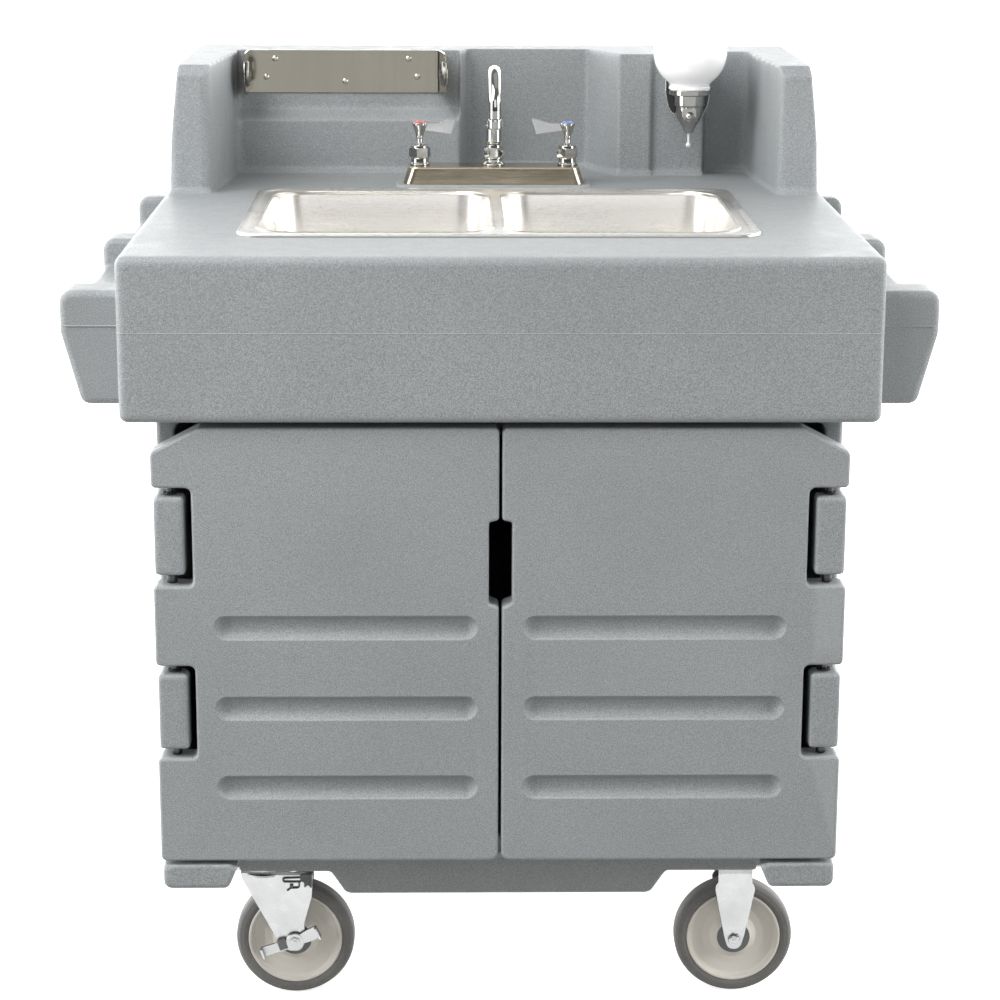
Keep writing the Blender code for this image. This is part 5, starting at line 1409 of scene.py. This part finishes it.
def tank_body(name, neck, material, slot):
    """Blow-moulded tank: soft corners, ribs, threaded neck and arched grip."""
    low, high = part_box(name)
    grip_radius, neck_radius = 0.009, 0.032
    shell_top = high.z - 0.045 - grip_radius
    centre = ((low.x + high.x) / 2, (low.y + high.y) / 2)
    half_x, half_y = (high.x - low.x) / 2 - 0.0004, (high.y - low.y) / 2 - 0.0004
    loops = []
    for degrees in (0, 22, 45, 67, 90):
        a = math.radians(degrees)
        pull = 0.020 * (1 - math.sin(a))
        loops.append(ring_points(half_x - pull, half_y - pull, 0.030 - pull * 0.5, centre,
                                 low.z + 0.020 * (1 - math.cos(a)), 8))
    ribs = 4
    span = (low.z + 0.035, shell_top - 0.035)
    for k in range(ribs * 6 + 1):
        share = k / (ribs * 6)
        groove = 0.0035 * max(0.0, math.sin(share * ribs * 2 * math.pi)) ** 2
        loops.append(ring_points(half_x - groove, half_y - groove, 0.030, centre,
                                 span[0] + (span[1] - span[0]) * share, 8))
    for degrees in (0, 22, 45, 67, 90):
        a = math.radians(degrees)
        pull = 0.020 * (1 - math.cos(a))
        loops.append(ring_points(half_x - pull, half_y - pull, 0.030 - pull * 0.5, centre,
                                 shell_top - 0.020 * (1 - math.sin(a)), 8))
    body = loft(name + "_shell", loops, sharp=75)
    rise = neck_top(name)
    stem = [(0, shell_top - 0.004), (neck_radius, shell_top - 0.004)]
    for k in range(3):
        z = shell_top + 0.0022 + 0.0030 * k
        stem += [(neck_radius - 0.0016, z), (neck_radius, z + 0.0007),
                 (neck_radius, z + 0.0014), (neck_radius - 0.0016, z + 0.0021)]
    stem += [(neck_radius - 0.0016, rise), (0, rise)]
    spout = lathe("neck", stem, (*neck, 0), steps=56, sharp=70)
    grip_x = grip_place(name)
    start, end = low.y + 0.050, high.y - 0.050
    crown = shell_top + 0.045
    path = bent([(grip_x, start, shell_top - 0.006), (grip_x, start, crown),
                 (grip_x, end, crown), (grip_x, end, shell_top - 0.006)], 0.030, 10)
    grip = tube("grip", path, grip_radius, 8)
    deliver(joined(name + "_moulding", [body, spout, grip]), "root", slot, material, name)


def neck_top(name):
    """Height of a tank's neck: just under its cap."""
    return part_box(name.replace("tank", "tank_cap"))[0].z - 0.0003


def grip_place(name):
    low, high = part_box(name)
    return high.x - 0.075 if name == "waste_tank" else high.x - 0.090


def tank_cap(name, material, slot):
    """Screw cap with grip ribs, a stepped crown and a hose grommet."""
    low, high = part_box(name)
    middle = (low + high) / 2
    radius = (high.x - low.x) / 2
    profile = [(0, high.z), (0.0095, high.z), (0.0105, high.z - 0.0012),
               (0.0105, high.z - 0.0040), (radius - 0.0075, high.z - 0.0046),
               (radius - 0.0055, high.z - 0.0024), (radius - 0.0026, high.z - 0.0030),
               (radius - 0.0012, high.z - 0.0052), (radius - 0.0012, low.z + 0.0030),
               (radius, low.z + 0.0022), (radius, low.z), (0, low.z)]
    cap = lathe(name + "_body", profile, (middle.x, middle.y, 0), steps=72, soften=0.0004)
    parts = [cap]
    for k in range(36):
        a = 2 * math.pi * k / 36
        rib = brick("rib", (-0.0010, -0.0011, low.z + 0.0032), (0.0009, 0.0011,
                    high.z - 0.0065), 0.0004, 1)
        spot = Vector((middle.x + (radius - 0.0012) * math.cos(a),
                       middle.y + (radius - 0.0012) * math.sin(a), 0))
        parts.append(moved(rib, Matrix.Translation(spot) @ Matrix.Rotation(a, 4, 'Z')))
    deliver(joined(name + "_ribbed", parts), "root", slot, material, name)


def heater():
    """Enamelled storage heater: domed can, band clamps, foot ring, dial and two ports."""
    low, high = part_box("water_heater")
    middle = (low + high) / 2
    radius = (high.x - low.x) / 2 - 0.0016
    top = 0.620
    profile = [(0, low.z), (radius * 0.86, low.z), (radius * 0.86, low.z + 0.018),
               (radius - 0.002, low.z + 0.022), (radius, low.z + 0.030),
               (radius, low.z + 0.090), (radius + 0.0012, low.z + 0.091),
               (radius + 0.0012, low.z + 0.103), (radius, low.z + 0.104),
               (radius, top - 0.094), (radius + 0.0012, top - 0.093),
               (radius + 0.0012, top - 0.081), (radius, top - 0.080), (radius, top - 0.030)]
    for degrees in range(10, 91, 10):
        a = math.radians(degrees)
        profile.append((radius * 0.62 + radius * 0.38 * math.cos(a),
                        top - 0.030 + 0.030 * math.sin(a)))
    profile.append((0, top))
    can = lathe("can", profile, (middle.x, middle.y, 0), steps=96, sharp=50)
    parts = [can]
    for dx in (-0.045, 0.045):
        parts.append(lathe("port", [(0, top - 0.006), (0.0150, top - 0.006),
                                    (0.0150, top + 0.004), (0.0106, top + 0.006),
                                    (0.0106, high.z - 0.001), (0.0098, high.z),
                                    (0, high.z)], (middle.x + dx, middle.y, 0),
                           steps=32, soften=0.0006))
    parts.append(lathe("dial", [(0, 0.0022), (0.011, 0.0022), (0.0125, 0.0010),
                                (0.0130, -0.006), (0, -0.006)],
                       (middle.x, middle.y - radius + 0.0006, low.z + 0.150), (0, -1, 0), 40,
                       soften=0.0005))
    for screw_x in (-0.035, 0.035):
        parts.append(lathe("boss", [(0, 0.0030), (0.0022, 0.0028), (0.0034, 0.0010),
                                    (0.0036, -0.004), (0, -0.004)],
                           (middle.x + screw_x, middle.y - math.sqrt(radius ** 2 - 0.035 ** 2),
                            low.z + 0.150), (screw_x / radius, -1, 0), 20))
    deliver(joined("heater_can", parts), "root", "enamel", ENAMEL, "water_heater")


def demand_pump():
    """Foot with its screws, three-port head, finned motor and its pressure switch."""
    low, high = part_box("water_pump")
    x = (low.x + high.x) / 2
    y = depth(0.640)
    foot = slab("foot", rounded(box_outline(x - 0.0448, x + 0.0448, y - 0.060, y + 0.100),
                                0.010), (low.z, low.z + 0.006), 'Z', 0.0012)
    parts = [foot]
    for dy in (-0.046, 0.086):
        for dx in (-0.034, 0.034):
            parts.append(dome_screw((x + dx, y + dy, low.z + 0.0062), (0, 0, 1), 0.0042))
    head = brick("head", (x - 0.042, y - 0.055, low.z + 0.005), (x + 0.042, y + 0.005,
                 high.z - 0.006), 0.007, 4)
    cover = brick("cover", (x - 0.034, y - 0.0592, low.z + 0.020), (x + 0.034, y - 0.050,
                  high.z - 0.020), 0.004, 3)
    parts += [head, cover]
    axis_z = low.z + 0.054
    motor = [(0, -0.006), (0.034, -0.006), (0.0378, -0.003)]
    fins = 11
    for k in range(fins):
        z = 0.002 + 0.0078 * k
        motor += [(0.0378, z), (0.0378, z + 0.0040), (0.0352, z + 0.0045), (0.0352, z + 0.0074)]
    motor += [(0.0378, 0.0900), (0.0360, 0.0945), (0.0150, 0.0950), (0.0140, 0.0900), (0, 0.09)]
    parts.append(lathe("motor", motor, (x, y, axis_z), (0, 1, 0), 64, sharp=45))
    for dx in (-0.022, 0, 0.022):
        parts.append(lathe("port", [(0, high.z - 0.010), (0.0115, high.z - 0.010),
                                    (0.0115, high.z - 0.0055), (0.0088, high.z - 0.0045),
                                    (0.0088, high.z), (0, high.z)],
                           (x + dx, y - 0.025, 0), steps=28, soften=0.0005))
    for dx in (-0.030, 0.030):
        for z in (low.z + 0.026, high.z - 0.026):
            parts.append(dome_screw((x + dx * 0.86, y - 0.0590, z), (0, -1, 0), 0.0026))
    deliver(joined("demand_pump", parts), "root", "black_plastic", BLACK, "water_pump")


def hose(name, corners, material, slot):
    """Flexible line with a ferrule at each end."""
    radius = 0.0064
    path = bent(corners, 0.028, 9)
    parts = [tube(name + "_line", path, radius, 7)]
    first, last = Vector(corners[0]), Vector(corners[-1])
    for end, beyond in ((first, Vector(corners[1])), (last, Vector(corners[-2]))):
        direction = (beyond - end).normalized()
        parts.append(lathe("ferrule", [(0.0060, 0.0014), (0.0081, 0.0014), (0.0086, 0.0022),
                                       (0.0086, 0.0130), (0.0080, 0.0140), (0.0060, 0.0140)],
                           end, direction, 28, closed=True))
    deliver(joined(name + "_hose", parts), "root", slot, material, name)


def hoses():
    """Supply lines: tank to pump, pump to valve and heater, heater to valve."""
    cap_low, cap_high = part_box("fresh_tank_cap")
    pump_low, pump_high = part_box("water_pump")
    heater_low, heater_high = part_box("water_heater")
    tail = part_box("valve_hot")[0].z - 0.0003
    neck = (cap_low + cap_high) / 2
    pump_x, pump_y = (pump_low.x + pump_high.x) / 2, depth(0.615)
    port = pump_high.z + 0.0003
    heater_mid = (heater_low + heater_high) / 2
    boss = heater_high.z + 0.0003
    high, mid, back = 0.760, 0.655, depth(0.800)
    riser = FAUCET_Y + 0.075
    inner, outer = heater_mid.x - 0.045, heater_mid.x + 0.045
    hose("suction_hose", [(neck.x, neck.y, cap_high.z + 0.0003), (neck.x, neck.y, mid),
                          (pump_x - 0.022, neck.y + 0.10, mid), (pump_x - 0.022, pump_y, mid),
                          (pump_x - 0.022, pump_y, port)], CLEAR, "clear_hose")
    hose("cold_line", [(pump_x, pump_y, port), (pump_x, pump_y, high), (pump_x, riser, high),
                       (VALVE_X, riser, high), (VALVE_X, FAUCET_Y, high),
                       (VALVE_X, FAUCET_Y, tail)], BLUE, "blue_plastic")
    hose("heater_feed", [(pump_x + 0.022, pump_y, port), (pump_x + 0.022, pump_y, 0.450),
                         (pump_x + 0.022, back, 0.450), (0.030, back, 0.450),
                         (0.030, back, 0.700), (inner, back, 0.700),
                         (inner, heater_mid.y, 0.700), (inner, heater_mid.y, boss)],
         BLUE, "blue_plastic")
    hose("hot_line", [(outer, heater_mid.y, boss), (outer, heater_mid.y, 0.840),
                      (outer, back, 0.840), (-VALVE_X, back, 0.840),
                      (-VALVE_X, FAUCET_Y, 0.840), (-VALVE_X, FAUCET_Y, tail)],
         RED, "red_plastic")


def inlet_socket():
    """Recessed power inlet: flanged shroud, three flat pins and two screws."""
    low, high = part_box("power_inlet")
    mid = (low + high) / 2
    flange = slab("flange", rounded(box_outline(low.x, high.x, low.z, high.z), 0.006),
                  (low.y + 0.0125, high.y), 'Y', 0.0012)
    shroud = slab("shroud", rounded(box_outline(mid.x - 0.0225, mid.x + 0.0225,
                                                mid.z - 0.0200, mid.z + 0.0200), 0.006),
                  (low.y, low.y + 0.0150), 'Y', 0.0006)
    well = slab("well", rounded(box_outline(mid.x - 0.0195, mid.x + 0.0195, mid.z - 0.0170,
                                            mid.z + 0.0170), 0.004),
                (low.y + 0.0035, high.y + 0.010), 'Y')
    body = joined("inlet", [flange, shroud])
    boolean(body, [well], 'DIFFERENCE')
    pins = [brick("pin", (mid.x + dx - 0.0012, low.y + 0.002, mid.z + dz - 0.0035),
                  (mid.x + dx + 0.0012, high.y - 0.003, mid.z + dz + 0.0035), 0.0005, 2)
            for dx, dz in ((-0.0070, -0.0045), (0.0070, -0.0045), (0.0, 0.0065))]
    screws = [dome_screw((mid.x + dx, high.y - 0.0016, mid.z), (0, 1, 0), 0.0030)
              for dx in (-0.0256, 0.0256)]
    deliver(joined("inlet_pins", pins + screws), "root", "chrome", CHROME)
    deliver(body, "root", "black_plastic", BLACK, "power_inlet")


# ---------------------------------------------------------------- casters
WHEEL_RADIUS = 0.0762
HUB_Z = WHEEL_RADIUS
SWIVEL_X, RIGID_X = -0.260, 0.306
KINGPIN_X = -0.300


def wheel(end, kind):
    """Cream hub with rims and a dished web, grey tyre, dark guards and hub caps."""
    x = SWIVEL_X if kind == "swivel" else RIGID_X
    y = -0.26 if end == "front" else 0.26
    at = (x, y, HUB_Z)
    body = "%s_%s_wheel" % (end, kind)
    tread = [(0.0606, -0.0146), (0.0660, -0.0158), (0.0715, -0.0150), (0.0746, -0.0122),
             (0.0760, -0.0080), (0.0762, 0.0), (0.0760, 0.0080), (0.0746, 0.0122),
             (0.0715, 0.0150), (0.0660, 0.0158), (0.0606, 0.0146)]
    tyre = lathe("tyre_%s_%s" % (end, kind), rounded(tread, 0.0020, 3), at, (0, 1, 0),
                 closed=True, steps=144, sharp=45)
    deliver(tyre, body, "tyre", TYRE, "%s_%s_tyre" % (end, kind))
    half = [(0.0604, 0.0), (0.0604, 0.0146), (0.0596, 0.0152), (0.0578, 0.0152),
            (0.0566, 0.0142), (0.0556, 0.0100), (0.0530, 0.0078), (0.0400, 0.0068),
            (0.0300, 0.0076), (0.0235, 0.0120), (0.0220, 0.0156), (0.0190, 0.0158),
            (0.0066, 0.0158), (0.0066, 0.0)]
    profile = half[:-1] + [(r, -h) for r, h in half[::-1] if h > 0]
    core = lathe("core_%s_%s" % (end, kind), profile, at, (0, 1, 0), closed=True,
                 steps=128, sharp=30, soften=0.0006)
    deliver(core, body, "wheel_core", CORE, "%s_%s_wheel_core" % (end, kind))
    guards = []
    for side in (-1, 1):
        guards.append(lathe("guard", [(0.0068, 0.0), (0.0205, 0.0), (0.0212, 0.0008),
                                      (0.0205, 0.0022), (0.0130, 0.0034), (0.0068, 0.0036)],
                            (x, y + side * 0.0158, HUB_Z), (0, side, 0), 48, closed=True,
                            soften=0.0004))
    deliver(joined("guard_%s_%s" % (end, kind), guards), body, "black_plastic", GUARD)


def caster_bolts(x, y, half_x, half_y, z):
    """Four carriage bolts seen from below the mounting plate."""
    bolts = []
    for dx in (-half_x, half_x):
        for dy in (-half_y, half_y):
            bolts.append(hex_nut("bolt", (x + dx, y + dy), 0.0125, z - 0.0058, z + 0.0002))
    return bolts


def fork_sheet(x, y, outline, half_top, half_low, top, sheet, fold=None):
    """Bent sheet fork: an inverted U seen from the side, cut to the leg's outline."""
    waist = (top - HUB_Z) * 0.30
    outer = [(-half_low, -0.03), (-half_low, top - HUB_Z - waist * 0.6),
             (-half_top, top - HUB_Z), (half_top, top - HUB_Z),
             (half_low, top - HUB_Z - waist * 0.6), (half_low, -0.03)]
    inner = [(half_low - sheet, -0.03), (half_low - sheet, top - HUB_Z - waist * 0.6 - 0.001),
             (half_top - sheet, top - HUB_Z - sheet), (-half_top + sheet,
             top - HUB_Z - sheet), (-half_low + sheet, top - HUB_Z - waist * 0.6 - 0.001),
             (-half_low + sheet, -0.03)]
    radii = [0, 0.008, 0.006, 0.006, 0.008, 0, 0, 0.006, 0.004, 0.004, 0.006, 0]
    section = rounded(outer + inner, radii, 6)
    bow = slab("fork", section, (-0.09, 0.09), 'X', 0.0)
    blank = slab("blank", outline, (-0.05, 0.05), 'Y', 0.0)
    boolean(bow, [blank], 'INTERSECT')
    if fold is not None:
        line, slope = fold
        mesh = bmesh.new()
        mesh.from_mesh(bow.data)
        for cut in (line, line + 0.004):
            geometry = mesh.verts[:] + mesh.edges[:] + mesh.faces[:]
            bmesh.ops.bisect_plane(mesh, geom=geometry, dist=1e-6, plane_co=(cut, 0, 0),
                                   plane_no=(1, 0, 0))
        for vertex in mesh.verts:
            behind = line + 0.004 - vertex.co.x
            if behind > 0 and abs(vertex.co.y) > 0.006:
                step = behind ** 2 / 0.008 if behind < 0.004 else behind - 0.002
                lift = max(0.0, vertex.co.z - (top - HUB_Z - 0.012)) / 0.012
                side = 1 if vertex.co.y > 0 else -1
                vertex.co.y -= side * step * slope * (1 - min(1.0, lift))
        mesh.to_mesh(bow.data)
        mesh.free()
    moved(bow, Matrix.Translation((x, y, HUB_Z)))
    return bow


def swivel_caster(end):
    """Top plate with its race, fork, axle bolt, and the pedal brake."""
    y = -0.26 if end == "front" else 0.26
    outward = -1 if end == "front" else 1
    low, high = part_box("%s_swivel_plate" % end)
    plate = slab("plate", rounded(box_outline(low.x, high.x, low.y, high.y), 0.009),
                 (high.z - 0.0058, high.z), 'Z', 0.0008, 2)
    race = lathe("race", [(0, high.z - 0.004), (0.0328, high.z - 0.004),
                          (0.0328, high.z - 0.0085), (0.0312, high.z - 0.0110),
                          (0.0322, high.z - 0.0128), (0.0322, high.z - 0.0150),
                          (0.0300, low.z + 0.0004), (0.0190, low.z), (0, low.z)],
                 (KINGPIN_X, y, 0), steps=72, soften=0.0009)
    bolts = caster_bolts(KINGPIN_X, y, 0.040, 0.036, high.z - 0.0058)
    deliver(joined("top_plate_%s" % end, [plate, race] + bolts), "root", "zinc", ZINC,
            "%s_swivel_plate" % end)

    low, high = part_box("%s_swivel_fork" % end)
    crown = high.z - 0.0002 - HUB_Z
    outline = rounded([(-0.0680, crown), (-0.0680, crown - 0.012), (-0.0195, -0.0040),
                       (-0.0070, -0.0139), (0.0075, -0.0139), (0.0140, 0.0020),
                       (0.0118, 0.0230), (0.0225, 0.0620), (0.0240, crown)],
                      [0.001, 0.006, 0.012, 0.009, 0.009, 0.012, 0.022, 0.02, 0.001], 8)
    fork = fork_sheet(SWIVEL_X, y, outline, 0.0235, 0.0234, high.z - 0.0001, 0.0030,
                      (-0.0250, 0.21))
    cup = lathe("cup", [(0, high.z - 0.0040), (0.0300, high.z - 0.0040),
                        (0.0275, high.z - 0.0072), (0.0120, high.z - 0.0090),
                        (0, high.z - 0.0090)], (KINGPIN_X, y, 0), steps=56, soften=0.0008)
    deliver(joined("fork_%s" % end, [fork, cup]), "%s_swivel_fork" % end, "zinc", ZINC,
            "%s_swivel_fork" % end)
    deliver(swivel_lock(end, y, outward), "%s_swivel_fork" % end, "black_plastic", BLACK)
    deliver(axle_bolt("%s_swivel_axle" % end), "%s_swivel_fork" % end, "zinc", ZINC,
            "%s_swivel_axle" % end)
    brake_pedal(end, y, outward)


def swivel_lock(end, y, outward):
    """Toothed lock at the fork's crown with its cranked wire link, on the outer leg."""
    face = y + outward * 0.0236
    near, far = sorted((face, face + outward * 0.0030))
    block = slab("lock", rounded([(-0.2520, 0.1690), (-0.2520, 0.1600), (-0.2470, 0.1570),
                                  (-0.2470, 0.1500), (-0.2420, 0.1540), (-0.2375, 0.1490),
                                  (-0.2370, 0.1530), (-0.2370, 0.1690)], 0.0008, 2),
                 (near, far), 'Y', 0.0004, 1)
    rod_y = face + outward * 0.0012
    link = tube("link", bent([(x, rod_y, z) for x, z in
                              ((-0.2510, 0.1580), (-0.2730, 0.1580), (-0.2750, 0.1630),
                               (-0.2480, 0.1640))], 0.002, 3), 0.0011, 4)
    crank = tube("crank", bent([(x, rod_y, z) for x, z in
                                ((-0.2535, 0.1580), (-0.2535, 0.1500), (-0.2640, 0.1495),
                                 (-0.2690, 0.1460))], 0.0025, 4), 0.0011, 4)
    knob = brick("knob", (-0.2655, near, 0.1505), (-0.2610, far, 0.1545), 0.0006, 2)
    return joined("lock_%s" % end, [block, link, crank, knob])


def axle_bolt(name):
    """Bolt with a domed nut on one side and a hexagon head on the other."""
    low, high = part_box(name)
    x, z = (low.x + high.x) / 2, (low.z + high.z) / 2
    front = low.y < 0
    head_y, nut_y = (high.y, low.y) if front else (low.y, high.y)
    way = 1 if front else -1
    rod = tube("rod", [(x, low.y + 0.001, z), (x, high.y - 0.001, z)], 0.0058, 8)
    head = slab("head", polygon((0, 0), 0.0130, 6, 0), (0, 0.0042), 'Z', 0.0006)
    moved(head, Matrix.Translation((x, head_y, z)) @ Matrix.Rotation(
        math.radians(90 * way), 4, 'X'))
    dome = [(0.0, 0.0), (0.0030, 0.0006), (0.0052, 0.0020), (0.0064, 0.0040), (0.0064, 0.0044),
            (0.0072, 0.0046), (0.0078, 0.0060), (0.0078, 0.0066), (0, 0.0066)]
    nut = lathe("nut", dome, (x, nut_y, z), (0, way, 0), 36, soften=0.0002)
    hexagon = slab("hexagon", polygon((0, 0), 0.0138, 6, 15), (0, 0.0042), 'Z', 0.0005)
    moved(hexagon, Matrix.Translation((x, nut_y + way * 0.0020, z)) @ Matrix.Rotation(
        math.radians(-90 * way), 4, 'X'))
    return joined(name + "_bolt", [rod, head, nut, hexagon])


def brake_pedal(end, y, outward):
    """Two-armed pedal outside the fork, with folded toe pads and a toothed hub."""
    low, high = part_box("%s_swivel_brake" % end)
    name = "pedal_%s" % end
    face = y + outward * 0.0246
    parts = []
    hub = lathe("hub", [(0.0066, 0.0), (0.0116, 0.0), (0.0120, 0.0006), (0.0120, 0.0030),
                        (0.0110, 0.0037), (0.0066, 0.0037)], (SWIVEL_X, face, HUB_Z),
                (0, outward, 0), 48, closed=True, soften=0.0003)
    parts.append(hub)
    for tip, spread in (((-0.0425, -0.0140), 0.0066), ((0.0310, 0.0150), 0.0084)):
        parts += pedal_arm(tip, spread, face, outward)
    near, far = sorted((face, face + outward * 0.0050))
    lug = brick("lug", (SWIVEL_X - 0.0215, near, HUB_Z - 0.0100),
                (SWIVEL_X - 0.0105, far, HUB_Z + 0.0040), 0.0010, 2)
    moved(lug, about((SWIVEL_X - 0.0160, 0, HUB_Z - 0.0030), 'Y', -18))
    deliver(joined(name + "_lug", [lug]), "%s_swivel_brake" % end, "black_plastic", GUARD)
    deliver(joined(name, parts), "%s_swivel_brake" % end, "zinc", ZINC,
            "%s_swivel_brake" % end)


def pedal_arm(tip, spread, face, outward):
    """Flat arm from the hub to a pad folded out at its tip."""
    way = Vector((tip[0], tip[1], 0)).normalized()
    across = Vector((-way.y, way.x, 0))
    reach = math.hypot(*tip)
    corners = []
    for along, offset in ((0.0085, -0.0066), (reach * 0.62, -spread), (reach, -spread),
                          (reach, spread), (reach * 0.62, spread), (0.0085, 0.0066)):
        spot = way * along + across * offset
        corners.append((SWIVEL_X + spot.x, HUB_Z + spot.y))
    near, far = face, face + outward * 0.0034
    arm = slab("arm", rounded(corners, 0.0012), (min(near, far), max(near, far)), 'Y', 0.0006,
               2)
    pad = slab("pad", rounded([(-0.0030, -spread), (0.0, -spread), (0.0, spread),
                               (-0.0030, spread)], 0.0010), (0, 0.0118), 'Z', 0.0006, 2)
    turn = Matrix.Identity(4)
    turn.col[0] = (way.x, 0, way.y, 0)
    turn.col[1] = (across.x, 0, across.y, 0)
    turn.col[2] = (0, outward, 0, 0)
    spot = Vector((SWIVEL_X + way.x * reach, face, HUB_Z + way.y * reach))
    moved(pad, Matrix.Translation(spot) @ turn)
    if turn.determinant() < 0:
        pad.data.flip_normals()
    return [arm, pad]


def rigid_caster(end):
    """Waisted rigid fork under its top plate, with the axle bolt."""
    y = -0.26 if end == "front" else 0.26
    low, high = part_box("%s_rigid_fork" % end)
    plate = slab("plate", rounded(box_outline(RIGID_X - 0.0520, RIGID_X + 0.0520, low.y,
                                              high.y), 0.009),
                 (high.z - 0.0040, high.z), 'Z', 0.0008, 2)
    top = high.z - 0.0036 - HUB_Z
    half = [(0.0215, top), (0.0218, 0.0775), (0.0258, 0.0705), (0.0126, 0.0040),
            (0.0075, -0.0128)]
    outline = rounded([(-x, z) for x, z in half] + half[::-1],
                      [0.001, 0.006, 0.008, 0.014, 0.009] + [0.009, 0.014, 0.008, 0.006, 0.001],
                      8)
    fork = fork_sheet(RIGID_X, y, outline, 0.0215, 0.0244, high.z - 0.0036, 0.0030)
    bolts = caster_bolts(RIGID_X, y, 0.043, 0.036, high.z - 0.0040)
    deliver(joined("rigid_fork_%s" % end, [plate, fork] + bolts), "root", "zinc", ZINC,
            "%s_rigid_fork" % end)
    deliver(axle_bolt("%s_rigid_axle" % end), "root", "zinc", ZINC, "%s_rigid_axle" % end)


# ---------------------------------------------------------------- everything together
studio()
counter_moulding()
parting_bead()
cabinet_moulding()
pressed_sink()
faucet_housing()
for side, word in ((-1, "left"), (1, "right")):
    door_leaf("door_" + word, side)
    hinge_rod("hinge_rod_" + word, side)
    drain_set("drain_strainer_" + word, side)
for side, word, colour in ((-1, "hot", INDEX_RED), (1, "cold", INDEX_BLUE)):
    slot = "index_red" if word == "hot" else "index_blue"
    valve_set("valve_" + word, side)
    lever_set("lever_" + word, side)
    index_button("index_" + word, "lever_" + word, colour, slot)
spout_base()
gooseneck()
aerator_tip()
soap_bowl()
soap_cup()
soap_holder()
push_rod()
towel_holder()
hub_disc("towel_hub_left", "root", (1, 0, 0))
spring_arm()
waste_plumbing()
tank_body("waste_tank", (0.149, depth(0.3645)), WASTE, "waste_tank")
tank_body("fresh_tank", (-0.200, depth(0.245)), FRESH, "fresh_tank")
tank_cap("waste_tank_cap", BLACK, "black_plastic")
tank_cap("fresh_tank_cap", BLUE, "blue_plastic")
heater()
demand_pump()
hoses()
inlet_socket()
for end in ("front", "rear"):
    for kind in ("swivel", "rigid"):
        wheel(end, kind)
    swivel_caster(end)
    rigid_caster(end)
